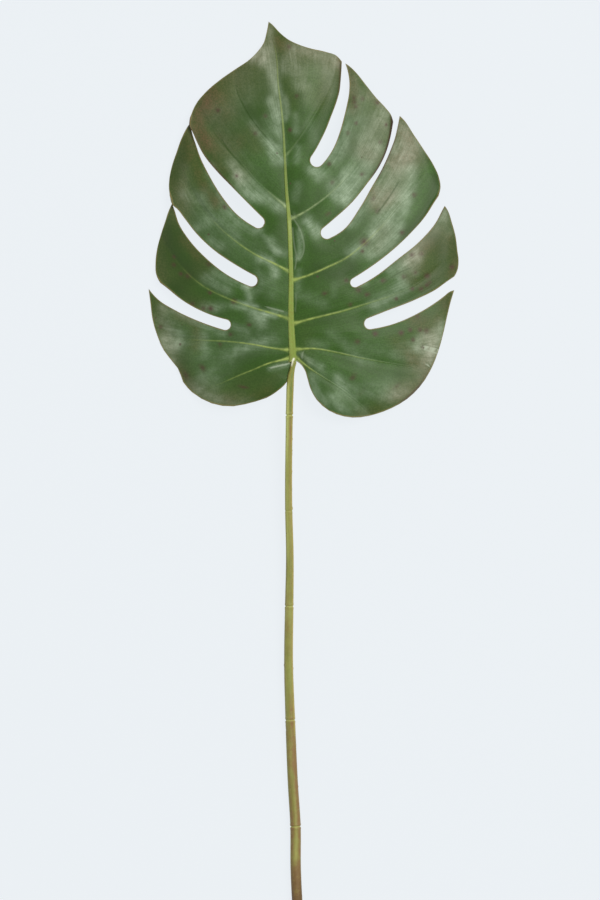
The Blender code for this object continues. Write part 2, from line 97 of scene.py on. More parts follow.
# Steps of the blade's grid: the rows of a line reach a slot's inner end, go round it and run to the margin.
STATION_PITCH, MARGIN_PITCH = 1.9, 2.1
JOIN_ROWS, ROUND_ROWS, OUTER_ROWS = 15, 8, 42
NEAR_VEIN, NEAR_LIMIT = (0.55, 1.3, 2.4), 0.35  # columns kept this far from a side vein, and their most share
ACROSS_RIB = 5  # columns of each half of the midrib
LEVEL_BACK, LEAST_JOIN, LEAST_TURN = 0.88, 0.05, 0.06  # how far out its first rows reach on a side vein
MERGE = 0.01  # points closer than this are one
VEIN_POINTS, VEIN_DENSE = 17, 101  # points along a side vein, and where its level with a slot is sought
DRAWN_STEPS = 4  # between two points of a drawn line
LAY_START = 1000.0  # keeps the streaks of the two halves apart
BLADE_SHARP, STALK_SHARP = 48, 50  # degrees from which an edge is shown sharp

# The stage, and the depth of the skin's fine relief, in metres.
RELIEF = 0.0003
FLOOR_HALF, FLOOR_DROP, FLOOR_SHARE, FLOOR_GLOW = 6.0, -0.0002, 0.05, 0.956
KEY_PLACE, FILL_PLACE = (1.45, 0.9, 2.5), (-2.2, -0.3, 1.6)
KEY_SIZE, FILL_SIZE = 1.7, 2.4
SEEN_CENTRE, SEEN_HEIGHT, SEEN_LONG, SEEN_FAR, SENSOR = (-0.0029, 0.0135), 0.003, 0.72, 40.0, 0.036


@dataclass
class Slot:
    """An open split: the station its inner end points to, and its centre line as (x, y, half width)."""

    station: float
    line: list


@dataclass
class Vein:
    """A side vein: its station, its way out, the margin point where it ends, the share where its colour goes,
    how strong its colour is near the midrib, and how strong further out: below nought it is a crease in
    painted shade."""

    station: float
    way: list
    end: int
    fade: float = 0.6
    tone: float = 1.0
    late: float = 0.4


@dataclass
class Lobe:
    """A finger of the blade: its margin from upper to lower corner, its veins, and the lift of its sides."""

    margin: list
    veins: list
    upper_lift: float = 0.0
    lower_lift: float = 0.0


@dataclass
class Half:
    """One half of the blade: its lobes from the tip down, the slots between them, and its basal edge."""

    side: int
    lobes: list
    slots: list
    sinus: list


@dataclass
class Line:
    """A line of the grid from the midrib to the margin: its rows, the share of the margin where it ends, the
    lift of the blade there, and the side vein that it follows."""

    station: float
    rows: np.ndarray
    place: float
    lift: float = 0.0
    vein: Vein = None


RIGHT_SLOTS = [
    Slot(137, [(19, 160.5, 5.4), (23, 166, 5.8), (27.5, 174, 6.0), (32, 184.5, 5.6), (35, 193.5, 5.2),
               (38.5, 205, 4.5), (41, 216, 4.0), (41.5, 225.5, 3.6), (41, 233.5, 2.7)]),
    Slot(85, [(27, 102.5, 4.9), (35.5, 108.5, 5.8), (50, 124.5, 3.9), (60.5, 140, 2.4), (70, 155, 1.5),
              (76.5, 169.5, 1.5), (79.5, 179, 2.0), (81.5, 189, 2.4)]),
    Slot(45.5, [(49.5, 63, 3.8), (62, 70.5, 4.2), (81, 85, 4.1), (97, 99, 4.9), (110, 114, 5.0),
                (116.5, 125.5, 4.6)]),
    Slot(20, [(61.5, 30.5, 4.6), (75.5, 34.8, 5.8), (100, 45, 5.4), (118.5, 56, 4.2), (123, 59.5, 4.1)]),
]
RIGHT_SINUS = [(3.2, 0.9), (6.5, -2), (9.5, -6.5), (11.5, -13), (14, -21.5), (19, -30.5)]
RIGHT_LOBES = [
    Lobe([(-19.5, 272.5), (-16.5, 270), (-11, 264), (-3, 257.5), (3, 254.5), (13, 251), (26.5, 248),
          (35, 245), (38.5, 240.5)],
         [Vein(FORK, [(10.5, 186.5), (20, 203), (29, 221.5)], 7, 0.5, 0.3, 0.05)], 0, 1.5),
    Lobe([(42, 239), (45.5, 236.5), (51, 231), (58.5, 221.5), (66.5, 211.5), (74.5, 203), (78.5, 197.5),
          (79.5, 192)],
         [Vein(113.5, [(10.5, 120), (20, 126.5), (34.5, 138.5), (47, 153.5), (58.5, 172), (68, 190.5)],
               5, 0.5, 0.8, 0.45)], -1.5, 2.0),
    Lobe([(85.5, 197), (89, 193.5), (96, 183), (105, 169.5), (112, 158.5), (117, 147), (118, 140),
          (116, 133)],
         [Vein(65, [(14.5, 69.5), (27, 75), (43, 83), (54.5, 92), (67, 104), (84, 124), (100, 142.5)],
               4, 0.58)], -2.0, 2.5),
    Lobe([(121.5, 125), (124, 121), (127, 112), (130, 101), (131.5, 89.5), (132.5, 80), (131.5, 73.5),
          (129, 68.5)],
         [Vein(30.5, [(16, 34.5), (34.5, 39), (61, 47), (79, 53), (97.5, 61.5), (116, 75)],
               4, 0.52)], -1.5, 2.0),
    Lobe([(129, 57.5), (126.5, 49.5), (123.5, 37.5), (120.5, 24), (116.5, 9.5), (110.5, -5.5), (102.5, -18.5),
          (92, -29), (77.5, -37.5), (63, -42.5), (49.5, -44.5), (38.5, -43), (28, -38.5), (19, -30.5)],
         [Vein(9.5, [(14.5, 10.5), (34.5, 7.5), (54.5, 3), (80, -1.5), (97.5, -4)], 5, 0.56, 1.0, 0.25),
          Vein(3, [(13, -5), (25, -13), (36, -20), (45.5, -27), (55, -35)], 9, 0.42, 0.9, 0.05)], -1.0, -1.0),
]

LEFT_SLOTS = [
    Slot(94, [(-27.5, 111, 4.9), (-40, 121.5, 6.3), (-53, 136, 5.5), (-64, 150.5, 3.5), (-73, 165, 1.7),
              (-77, 174.5, 0.9), (-80.5, 184, 0.4), (-82, 189, -0.4)]),
    Slot(51, [(-33, 64.5, 4.7), (-48, 72.5, 5.2), (-67, 86.5, 4.5), (-80.5, 100.5, 3.9), (-88.5, 112, 3.2),
              (-93.5, 121.5, 1.3), (-96, 125.5, 0)]),
    Slot(20, [(-54, 29.5, 4.3), (-73, 36, 4.2), (-91.5, 45.5, 5.0), (-104, 54.5, 6.0)]),
]
LEFT_SINUS = [(-3.3, -0.15), (-2.4, -0.14), (-1.5, -0.25), (-1.2, -1.2), (-1.5, -3.5), (-2.3, -6.8),
              (-3.5, -11), (-4.4, -15.2), (-6.2, -17.8), (-12.5, -23.5), (-21.5, -29)]
LEFT_LOBES = [
    Lobe([(-19.5, 272.5), (-21, 264), (-23.5, 255), (-28, 248.5), (-35, 241.5), (-45.5, 234.5), (-59, 225),
          (-70.5, 215), (-77.5, 206.5), (-81, 198.5), (-82, 193)],
         [Vein(FORK, [(-17, 174.5), (-29.5, 189), (-39, 204), (-45, 217.5)], 5, 0.8, 0.1, -0.9),
          Vein(124, [(-17, 133), (-29, 143.5), (-44, 161), (-57, 175), (-68, 190.5)],
               8, 0.8, 1.0, -0.5)], 0, 2.6),
    Lobe([(-79, 194.5), (-84, 188.5), (-89, 179), (-93, 168), (-97, 156), (-99, 145), (-99, 137.5),
          (-96.5, 129.5)],
         [Vein(72, [(-16, 78.5), (-29.5, 85), (-47, 97), (-58.5, 107), (-70.5, 121.5), (-79, 137),
                    (-88, 155)], 4, 0.58)], -1.8, 2.4),
    Lobe([(-95, 129), (-99, 121.5), (-102.5, 111.5), (-106, 101), (-109, 89), (-110, 78.5), (-109.5, 70.5),
          (-106, 63.5)],
         [Vein(34.5, [(-17, 38.5), (-30.5, 42.5), (-54.5, 51.5), (-71, 60), (-87, 73.5), (-98.5, 88)],
               3, 0.7)], -2.2, 2.5),
    Lobe([(-115.5, 58.5), (-114, 47), (-112.5, 35), (-109, 22.5), (-104, 10.5), (-97, 1), (-91, -7),
          (-88.5, -15), (-82.5, -22.5), (-72, -30), (-60, -34.5), (-48, -35.5), (-34.5, -33), (-21.5, -29)],
         [Vein(9.5, [(-17.5, 11), (-30.5, 13.5), (-56, 16.5), (-68, 17), (-89, 18.5)], 3, 0.62),
          Vein(3, [(-10.5, 1), (-18.5, -1), (-32, -6.5), (-44.5, -11.5), (-58.5, -17.5), (-72, -21.5)],
               8, 0.6)], -2.0, -3.0),
]

HALVES = (Half(RIGHT, RIGHT_LOBES, RIGHT_SLOTS, RIGHT_SINUS), Half(LEFT, LEFT_LOBES, LEFT_SLOTS, LEFT_SINUS))

# Fine relief, as rise, half width and x, y of the points that its line follows.
CREASES = [
    # The pucker beside the midrib: its outer and inner fold, and the valley between it and the midrib.
    (0.5, 1.8, -1, 118, 6, 102, 9, 90, 6, 77), (0.4, 1.6, 1, 109, 3, 94, 3, 80),
    (-0.5, 1.8, -2, 112, 0, 98, 1, 83),
    # Third right lobe, valley and fold. Second left lobe, fold and valley. Fourth right lobe.
    (-0.55, 2.2, 83, 142, 74, 130, 65, 117), (0.35, 2.2, 47, 93, 63, 110, 79, 130),
    (0.4, 2, -86, 152, -74, 131, -63, 115, -54, 106), (-0.4, 2, -88, 147, -77, 128, -66, 114),
    (-0.45, 2.2, 70, 66, 84, 72, 95, 78),
    # Under the lowest left vein, and the crumples right of the base.
    (0.5, 2, -18, -6, -10, -2, -3, -2), (0.35, 1.5, 5, 6, 9, 3, 13, -2), (0.35, 1.3, 7, 10, 12, 6, 18, 3),
    # From the ends of the left slots, and on the second right lobe.
    (0.35, 2, -28, 106, -22, 98, -15, 88), (0.35, 1.6, -37, 58, -34, 50),
    (0.3, 1.6, -26, 70, -24, 61, -26, 54), (0.3, 2.5, 54, 178, 47, 163, 38, 149),
]
VALLEY, VALLEY_REACH = 0.5, 2.4  # the blade drops sharply beside its side veins
VEIN_WIDTH, VEIN_TAPER = 0.62, 0.4  # and the vein stands up in it
VEIN_BRIGHT, VEIN_FLARE = 0.32, 1.5  # share of its way over which it is bright, and its flare at the midrib
VEIN_DEPTH, VEIN_BACK_WIDTH, VEIN_FADE, VEIN_START = 0.9, 1.5, 0.9, 4.0
VEIN_END = 0.06  # share over which its colour goes
RIB_SHOWN = 1.9  # half width of the midrib from which its colour is full
RIB_CRISP, RIB_CRISPEST = 2.2, 6.0  # how crisp its edge is for each mm of half width, and at most

# Sharp folds and the painted lines of light and shade that they show, as strength, below nought for painted
# shade, and x, y of their points.
FOLDS = [
    (0.3, -1.2, 116, 1.6, 112, 4.8, 106.4, 7.6, 99.2, 8.8, 91.2, 7.6, 84.8, 4.8, 80.8),
    (0.3, -0.4, 106.4, 0.4, 97.6, 1.6, 89.6, 2.8, 83.2, 2.4, 78.4, 1.6, 74.4),
    (-0.4, 0.8, 109.6, 4, 103.2, 6, 96), (0.25, 2.2, 53, 2.4, 47, 1.8, 41),
    (0.8, -4, -1.6, -10.4, -3.2, -17.6, -4.8), (-0.8, -4, -0.2, -8, -1.2, -11, -1),
    (0.4, 8, 7.2, 7.4, 4.6, 7.2, 2.8), (-0.6, 3.6, 8, 5.2, 5, 6, 2), (0.7, 2.8, 0.6, 5, -1.2, 7, -3),
    (0.45, -8, 40, -14.4, 41.6, -20.8, 43.4), (-0.7, 68, 119.5, 76, 130.5, 84.5, 143.5),
    (-0.55, 73, 63, 82, 69.5, 94, 75), (-0.6, -57, 178, -46, 162, -41, 157),
    (1.1, 105.5, 12.5, 111, 11, 117, 9.5), (0.8, 105, 10, 112, 8, 116, 6.5), (0.9, 107.4, -2, 108.6, -3),
]
FOLD_REACH = 1.9

# Where the surface is paler with painted sheen (a painted highlight), darker with painted shade, browner,
# duller or livelier, as strength, half width and x, y of the points of a soft stroke.
# Painted sheen: paler strokes that stand in for the soft highlight of the lights on the skin.
PAINTED_SHEEN_STROKES = [
    # Tip.
    (0.7, 4, -19, 266, -18, 251, -16, 237, -14, 224, -10, 211, -8, 195),
    (1.5, 5, -32, 244, -26, 250, -24, 240), (0.5, 4, -19, 232, -14, 216),
    (0.5, 2.4, -6, 210, -4, 200, -5, 194),
    # First right lobe.
    (0.9, 6, 0, 250, 14, 249, 22, 246), (0.6, 7, -8, 236, 0, 236, 6, 222), (0.35, 12, 4, 238, 32, 234),
    (0.9, 5, 32, 243, 38, 240), (0.4, 6, 11, 218, 12, 208), (0.4, 6, 14, 188, 18, 176),
    (0.35, 6, 28, 234, 30, 216), (0.6, 3, 2, 196, 2, 184), (0.5, 3.4, 4, 170, 3, 160),
    (0.9, 4, 14, 153, 20, 152, 26, 150),
    # First left lobe, beside the midrib.
    (1.2, 4, -17, 208, -14, 197, -12, 184), (1.1, 4, -18, 174, -13, 168, -9, 160),
    (0.4, 4, -22, 194, -19, 184), (0.5, 3.6, -10, 180, -8, 172), (0.25, 14, -52, 170, -30, 150),
    # Under its veins.
    (0.7, 4, -32, 190, -24, 179, -17, 170), (0.3, 14, -62, 196, -42, 206, -38, 226),
    (0.8, 4.4, -49, 158, -43, 150), (1.4, 4.8, -44, 147, -39, 138, -31, 131), (0.8, 3.6, -17, 167, -15, 160),
    (0.5, 4.6, -26, 129, -14, 124), (0.6, 3, -35, 146, -29, 140, -20, 131),
    (0.4, 4, -24, 130, -15, 127, -8, 122),
    # Second left lobe.
    (0.3, 4.8, -87, 154, -86, 136), (0.4, 5, -88, 134, -78, 130), (0.4, 4, -72, 134, -68, 122, -56, 108),
    (0.6, 4, -76, 108, -68, 112), (0.5, 4, -66, 96, -58, 92),
    (0.8, 4.6, -66, 154, -58, 136, -44, 114, -30, 105), (0.45, 5.6, -55, 120, -46, 101),
    (0.3, 15, -80, 124, -56, 100, -34, 88), (0.5, 2.4, -27, 106, -22, 98, -15, 88),
    (0.7, 4, -17, 96, -12, 88), (0.8, 3, -12, 87, -7, 86), (1.4, 3.6, -26, 82, -17, 78, -14, 70),
    (0.4, 6, -18, 64, -16, 54),
    # Third left lobe.
    (0.45, 4, -27, 70, -25, 62, -30, 56), (0.7, 4, -62, 72, -46, 64), (0.7, 4.6, -70, 67, -60, 61, -52, 57),
    (0.6, 4, -70, 42, -62, 42), (0.7, 3, -48, 45, -38, 43), (0.45, 4, -70, 44, -56, 44),
    (0.8, 1.6, -44, 48, -28, 44), (0.6, 1.6, -17, 42, -5, 38), (0.9, 4.4, -31, 40, -24, 34),
    (0.5, 4.4, -27, 36, -26, 28), (0.4, 4, -38, 44, -32, 34), (1.2, 3, -22, 38, -15, 37),
    (0.25, 13, -48, 18, -24, 20), (1, 3, -37, 58, -34, 50), (0.9, 2.2, -40, 60, -34, 60),
    (0.45, 3, -47, 28, -37, 24), (0.8, 3.6, -104, 44, -92, 40, -72, 30, -56, 24),
    # Basal left lobe.
    (0.5, 3, -46, 9, -42, 10, -32, 14, -22, 16), (0.4, 6, -50, 4, -32, 12, -16, 16), (0.6, 4, -99, 6, -95, 1),
    (1.1, 2.2, -18, -6, -10, -3.4, -5, -2.6), (0.5, 6.4, -104, 35, -101, 28, -96, 22),
    (1.5, 5.6, -102, 16, -94, 14), (0.3, 15, -94, 24, -62, -4), (0.6, 4.4, -71, 20, -70, 8),
    (0.5, 4, -82, -18, -78, -23, -66, -30), (0.7, 4, -72, -12, -75, -20), (0.5, 3, -64, -27, -60, -31),
    (0.4, 3.6, -90, 22, -88, 16), (0.4, 7.2, -65, -12, -62, -29, -40, -33),
    # Second right lobe.
    (0.9, 6, 56, 180, 54, 168, 48, 154, 42, 142), (0.55, 6.4, 72, 198, 66, 188, 62, 170),
    (0.5, 4.6, 43, 200, 45, 190), (0.5, 8, 50, 194, 64, 192), (1.1, 5.6, 68, 172, 60, 156, 50, 140, 43, 129),
    (1.2, 4.4, 31, 140, 33, 133, 40, 128), (0.9, 5, 42, 150, 39, 140, 42, 132),
    (0.6, 2.4, 24, 158, 30, 164, 36, 176), (1, 4.6, 42, 184, 41, 174, 32, 160), (0.5, 6, 47, 224, 52, 206),
    (0.8, 4, 17, 152, 20, 146), (0.5, 4, 4, 140, 2, 130), (0.6, 6, 60, 213, 73, 200, 75, 184),
    (1.5, 4.4, 11, 113, 15, 107, 19, 102),
    # Third right lobe.
    (1.1, 7.2, 88, 186, 88, 166, 82, 146, 74, 124, 66, 104), (0.8, 5.6, 99, 176, 95, 158),
    (1.25, 5.6, 95, 151, 94, 143, 90, 134), (0.6, 4.6, 90, 132, 86, 112), (1, 4.8, 84, 128, 80, 120, 76, 110),
    (0.7, 4, 92, 128, 90, 120), (0.9, 5, 80, 172, 68, 140, 58, 124, 46, 110), (0.5, 4, 72, 137, 68, 128),
    (1.4, 5.4, 84, 106, 75, 95, 62, 86), (0.5, 3.4, 20, 108, 23, 104), (0.9, 4.6, 64, 102, 54, 92, 48, 86),
    (1, 2.6, 52, 61, 58, 63), (0.5, 4.4, 52, 92, 44, 88), (1, 2.6, 5, 104, 6, 92, 4, 82),
    (0.5, 4, -14, 122, -7, 120), (0.5, 3, 5, 72, 4, 62, 4, 52), (0.35, 5, 10, 52, 24, 46),
    # Fourth right lobe.
    (0.9, 5, 86, 66, 90, 76, 98, 90), (0.7, 3.4, 122, 122, 119, 116), (0.7, 4, 101, 84, 97, 72),
    (0.8, 4.4, 98, 84, 86, 77, 78, 73), (0.6, 4, 121, 120, 110, 102, 102, 96), (0.4, 4.4, 124, 116, 126, 104),
    (0.9, 6.4, 88, 60, 76, 52, 66, 46), (0.35, 3, 33, 62, 33, 53),
    # Basal right lobe.
    (1.5, 6.2, 118, 27, 114, 16, 110, 4), (0.4, 7, 38, -20, 52, -20, 66, -20, 76, -16),
    (0.6, 5, 112, 8, 105, 2, 107, -6), (0.5, 5, 36, -27, 48, -28), (0.25, 6, 60, -25, 74, -25, 85, -26),
    (0.35, 6, 24, -10, 34, -12), (0.3, 7, 52, 12, 72, 10, 90, 12), (1.4, 5.8, 105, 19, 99, 12),
    (1.2, 1.2, 106, 12.3, 116, 9.8), (0.5, 4, 44, 9, 50, 4, 54, -2), (0.4, 4.8, 82, 4, 96, -2, 100, -12),
    (0.4, 4, 30, 22, 40, 16), (0.35, 4, 56, 2, 62, -2), (0.5, 4, 15, 14, 25, 13), (0.8, 6, 76, -27, 92, -22),
    (0.8, 4, 36, -14, 41, -20), (0.4, 5, 40, -38, 56, -38), (0.7, 4, 30, -28, 38, -36),
    (0.8, 4.4, 15, -12, 17, -22, 24, -34), (0.9, 3.2, 14, 0, 22, -4), (0.7, 2.4, 5, 6, 9, 4, 13, 0),
]
# Painted shade: darker strokes that stand in for shade where the surface turns from the light.
SHADE = [
    (1.2, 2.5, 78.6, 195, 78.4, 184), (0.5, 6, 16, 88, 42, 84), (0.35, 7, -54, -8, -42, 0),
    # Third right lobe, outer margin.
    (1.7, 6, 114, 148, 111, 132, 103, 116, 92, 102), (0.6, 6.4, 18, 92, 34, 92, 44, 99),
    (1.5, 8, 20, 74, 34, 70, 46, 74), (0.8, 4.4, 36, 120, 26, 110, 20, 134),
    # Third left lobe.
    (1.2, 10, -96, 106, -94, 86, -84, 68, -92, 60), (0.5, 3.6, -98, 60, -80, 48, -60, 38),
    # Second left lobe.
    (0.8, 6.4, -84, 176, -90, 160, -94, 150),
    # First left lobe.
    (0.6, 5.6, -25, 152, -17, 139), (0.8, 5.4, -36, 200, -26, 190), (0.7, 3.6, -76, 180, -66, 164, -54, 148),
    (0.4, 8, -44, 200, -66, 190), (0.4, 5, -26, 228, -22, 212),
    # First right lobe.
    (0.6, 4.4, 36, 226, 31, 200, 20, 176, 13, 162), (0.8, 4.4, 5, 212, 8, 198), (0.5, 5, 9, 152, 7, 130),
    (0.9, 4, -1, 118, 8, 116), (0.5, 5, -9, 112, -10, 86),
    # Basal left lobe.
    (0.7, 7.2, -25, -11, -42, -19), (0.4, 4, -25, 8, -42, 2), (0.5, 4.4, -86, 18, -88, 0),
    # Fourth right lobe.
    (0.9, 6.4, 112, 100, 120, 80, 108, 60), (0.7, 4, 130, 98, 131, 84), (0.5, 4, 58, 56, 70, 64),
    (0.7, 4, 20, 34, 36, 36),
    # Basal right lobe, under the slot.
    (0.8, 5, 56, 24, 84, 25, 104, 34, 124, 48), (0.5, 4, 46, 34, 56, 31),
    (0.9, 5, 36, 5, 50, -2, 68, -8, 84, -9), (0.5, 4, 27, -14, 31, -20),
]
BROWN = [
    # First left lobe.
    (1.4, 7, -64, 214, -70, 204, -76, 194, -70, 174), (0.6, 7, -58, 210, -52, 196),
    (0.3, 5, -62, 166, -48, 168), (0.5, 7.2, -70, 221, -54, 234, -38, 245), (0.5, 7, -58, 178, -44, 176),
    (0.4, 4, -62, 158, -56, 152),
    # Second left lobe.
    (0.8, 6, -84, 176, -76, 152, -62, 128),
    # Third left lobe.
    (0.5, 5, -88, 98, -74, 82),
    # Basal left lobe.
    (0.5, 5, -90, 38, -78, 30, -78, 12),
    # Tip.
    (0.7, 6, -17, 266, -6, 252, 16, 249, 38, 240), (0.6, 6, -24, 254, -26, 246), (0.4, 4, 38, 240, 38, 222),
    # Second right lobe.
    (0.7, 6, 44, 232, 48, 214, 48, 202), (0.5, 5, 62, 214, 72, 206), (0.5, 6, 56, 166, 72, 160),
    # Third right lobe.
    (0.9, 8, 90, 186, 92, 166, 82, 160), (0.8, 6, 64, 136, 66, 126, 78, 132),
    # Fourth right lobe.
    (0.6, 8, 112, 98, 100, 86, 98, 76), (0.6, 4, 126, 98, 130, 80, 126, 70),
    # Basal lobes.
    (0.7, 8, 116, 18, 108, 0, 96, 0), (0.7, 7, 125, 54, 112, 34, 97, 33), (0.5, 7, 82, 20, 90, 10),
    (0.5, 7, 82, -26, 96, -20), (0.8, 3, 92, -27, 98, -22, 110, -8), (0.5, 5, 54, -42, 70, -40),
    (0.4, 4.8, -94, -3, -82, -21), (0.5, 6, -20, -24, -50, -32),
]
OLIVE = [
    (0.9, 26, -72, 200, -48, 222, -20, 246, 8, 244), (0.5, 14, 30, 236, 18, 212),
    (0.6, 14, 52, 222, 68, 200, 60, 172), (0.6, 8, -62, 196, -52, 224), (0.6, 8, -92, 162, -90, 144),
    (0.5, 6, -106, 98, -109, 78, -104, 64), (0.6, 7, 116, 146, 115, 130, 106, 118), (0.6, 5, 94, 66, 106, 58),
    (0.6, 6, -33, 184, -29, 170), (0.3, 13, 2, 206, 30, 212), (0.45, 9, -82, 70, -66, 80),
    (0.4, 8, 66, 92, 72, 104), (0.5, 7, 113, 72, 118, 88), (0.4, 7, -42, -15, -14, -14),
    (0.25, 7, 10, 30, 8, -8), (0.65, 14, 88, 190, 86, 166, 74, 136), (0.5, 8, 100, 166, 112, 150),
    (0.8, 11, 110, 100, 94, 84), (0.7, 14, 128, 116, 126, 88, 118, 66),
    (0.7, 12, -88, 180, -96, 148, -90, 128), (0.75, 14, -98, 116, -106, 84, -98, 62),
    (0.8, 13, -112, 48, -100, 8, -84, -22, -50, -32), (0.8, 11, 124, 48, 106, 20, 110, -2, 90, -24),
    (0.45, 9, 92, -26, 66, -38), (0.7, 9, -100, 50, -76, 43), (0.4, 8, -90, 108, -86, 96),
    (0.6, 11, -66, 176, -44, 150),
]
FRESH = [
    (0.5, 7, 113, 150, 115, 136, 106, 122), (0.8, 9, 16, 230, 10, 200), (0.9, 12, 10, 158, 18, 136, 32, 118),
    (0.6, 9, -26, 158, -14, 140), (0.6, 11, 20, 96, 34, 74, 60, 76), (0.7, 7, 30, 152, 46, 158),
    (1, 8, 110, 152, 106, 134, 94, 116), (0.7, 9, 60, 62, 76, 66), (1.1, 7, 54, 24, 70, 22, 96, 30, 116, 42),
    (0.9, 8, 36, 4, 54, -5, 76, -8), (0.7, 8, 28, -10, 38, -28), (0.5, 9, -40, 60, -46, 34),
    (0.5, 9, -10, 80, -14, 60), (0.3, 5, -66, 186, -66, 176),
]
# Darker parts of its edges.
DARK_EDGES = [
    (1, 4, 80, 194, 79, 186, 76, 172, 66, 149), (0.6, 4, 38.4, 236, 38.4, 208),
    (0.7, 4, -66, 162, -56, 147, -50, 138), (0.8, 4, 102, -18, 88, -31), (0.4, 4, -81, 186, -72, 168),
    (0.5, 4, -40, 70, -29, 62), (0.5, 4, 118, 122, 100, 104),
]
# The glint in the joint between the midrib and the stalk.
GLINT = [(1.3, 0.62, 0.7, 2.4, 0, 0.9, -0.6, -0.8, -1.1, -2.6)]
STROKES = {"painted_sheen_strokes": PAINTED_SHEEN_STROKES, "shade": SHADE, "brown": BROWN, "olive": OLIVE, "fresh": FRESH,
           "dark_edge": DARK_EDGES, "glint": GLINT}
# Freckles by their strength, as x, y and half width.
FRECKLES = {
    1: [
        (-2.4, 184.8, 1.7), (-60, 200.8, 1.7), (-54.4, 123.2, 1.8), (28.8, 157.6, 1.6), (95.2, 85.6, 1.9),
        (107.2, 68.8, 2.3), (56.8, 95.2, 3.3), (65.6, 22.4, 2.1), (86.4, 23.2, 2.1), (93.6, 25.6, 1.6),
        (101.6, 25.6, 1.6), (-47.2, 48, 2.1), (48, -12, 2), (-72, -5.6, 2.1), (-85.6, -12, 2.1),
        (96, 17.6, 1.6), (95.2, 58.4, 1.5), (102.4, 58.4, 1.6), (107.2, 61.6, 1.6), (82.4, 50.4, 1.5),
        (59.2, 53.6, 1.7), (72, 64.8, 1.7), (25.6, 54.4, 1.7), (127.2, 76, 1.9), (-35.2, 29.6, 1.5),
        (-58.4, 13.6, 1.6), (-65.6, 42.4, 2.1), (-66.4, 55.2, 1.5), (-95.2, 77.6, 1.5), (-89.6, 70.4, 1.5),
        (-95.2, 84, 1.3), (-39.2, -20.8, 1.5), (87.2, 103.2, 1.7), (28, 117.6, 1.5), (74.4, 189.6, 1.3),
        (50.4, 190.4, 1.3), (55.2, 149.6, 1.5), (96.8, 133.6, 1.7), (-44.8, 148, 1.6), (-3.2, 252, 1.4),
        (67.3, 207.7, 1.5), (55.2, 88, 1.5), (104, 12, 1.3), (82.4, -20.8, 1.5), (55.2, -24, 1.4),
    ],
    0.75: [
        (48.8, 211.2, 1.5), (49, 207.7, 1.8), (50.2, 204, 1.5), (55.5, 210.3, 1.6), (44, 182.6, 1.5),
        (70, 175.6, 1.5), (31.4, 142.8, 1.5), (67.6, 120.5, 1.9), (63.6, 129.7, 1.5), (-84, 68.6, 2),
        (-67.3, 77.8, 1.8), (-80.5, 46, 2), (-71.5, 42.5, 1.7), (-106, 28.2, 1.7), (-50, 21.8, 1.7),
        (42.6, 64.5, 1.8), (52.2, 57.4, 2.4), (45.6, 45.5, 1.7), (51.5, 16, 2), (99.6, 36.6, 1.7),
        (102.3, 86.3, 1.7), (97.6, 71.4, 1.6), (88.4, 68, 1.9), (109.2, 63.8, 1.6), (106.6, 25, 2.1),
        (-22, 196, 1.5), (-30, 182, 1.5), (3, 212, 1.5), (-38, 66, 1.6),
    ],
}

# The stalk from above, as x, y, height of its middle and radius.
STALK = [(0.7, -0.5, 17.4, 2.2), (0.1, -3, 17.4, 2.05), (-0.6, -6.5, 17.2, 2.05), (-1.5, -11, 16.8, 2.5),
         (-2.2, -19, 16.0, 2.9), (-2.6, -30, 15.1, 2.9), (-3, -50.5, 13.7, 2.8), (-3.5, -110.5, 10.5, 2.9),
         (-2.5, -158.5, 8.4, 3.1), (-3, -194.5, 7.1, 3.4), (-3.5, -242.5, 5.7, 3.6), (-2.2, -285, 4.8, 3.9),
         (0, -338.5, 3.95, 4.1), (2, -371, 3.65, 4.2), (2.2, -405, 3.6, 4.2), (4, -440, 3.6, 4.2)]
STALK_PITCH, STALK_SIDES = 1.3, 40
# Its stripes of colour, as strength, place across from -1 to 1, half width, and where they start and end.
STALK_FADE = 3.0
STALK_BANDS = {
    # The first pale stripe is partly painted light: brighter on the left flank, which the round stalk turns
    # from the key light.
    "pale": [
        (1.8, -0.66, 0.42, 18, 76), (0.8, -0.6, 0.4, 76, 160), (0.5, -0.5, 0.4, 170, 210),
        (0.3, 0.4, 0.3, 100, 180), (0.3, 0.4, 0.5, 195, 262), (0.8, -0.2, 0.22, 306, 330),
        (0.3, 0.2, 0.25, 340, 384), (0.45, -0.1, 0.4, 384, 402), (0.3, -0.8, 0.4, 190, 300),
    ],
    "green": [
        (1.6, 0.3, 0.34, 3, 44), (0.3, 0.1, 0.5, 76, 190), (0.3, 0.3, 0.5, 150, 265),
        (0.3, -0.05, 0.4, 208, 355), (0.3, -0.2, 0.3, 350, 372),
    ],
    "brown": [
        (0.95, 0.4, 0.3, 42, 70), (0.4, 0.4, 0.4, 76, 190), (0.6, -0.95, 0.2, 158, 300),
        (0.5, -0.4, 0.3, 186, 212), (0.5, -0.5, 0.4, 355, 378), (0.5, -0.6, 0.4, 290, 392),
        (0.35, 0.3, 0.4, 262, 384), (0.45, 0.2, 0.8, 205, 235), (0.5, 0.3, 0.7, 264, 330),
        (1.2, 0.8, 0.35, 300, 400), (0.35, -0.8, 0.4, 352, 400), (0.3, 0, 3, 392, 460), (0.5, 0, 3, 402, 460),
        (0.8, 0, 3, 406, 460),
    ],
    # The golden edges are partly the stalk's own colour and partly painted light, brightening flanks that the
    # round stalk turns from the key light.
    "gold": [
        (1.3, 0.95, 0.22, 28, 300), (0.6, 0.9, 0.25, 2, 28), (0.4, -0.95, 0.2, 2, 40),
        (0.6, -0.95, 0.2, 60, 150),
    ],
}
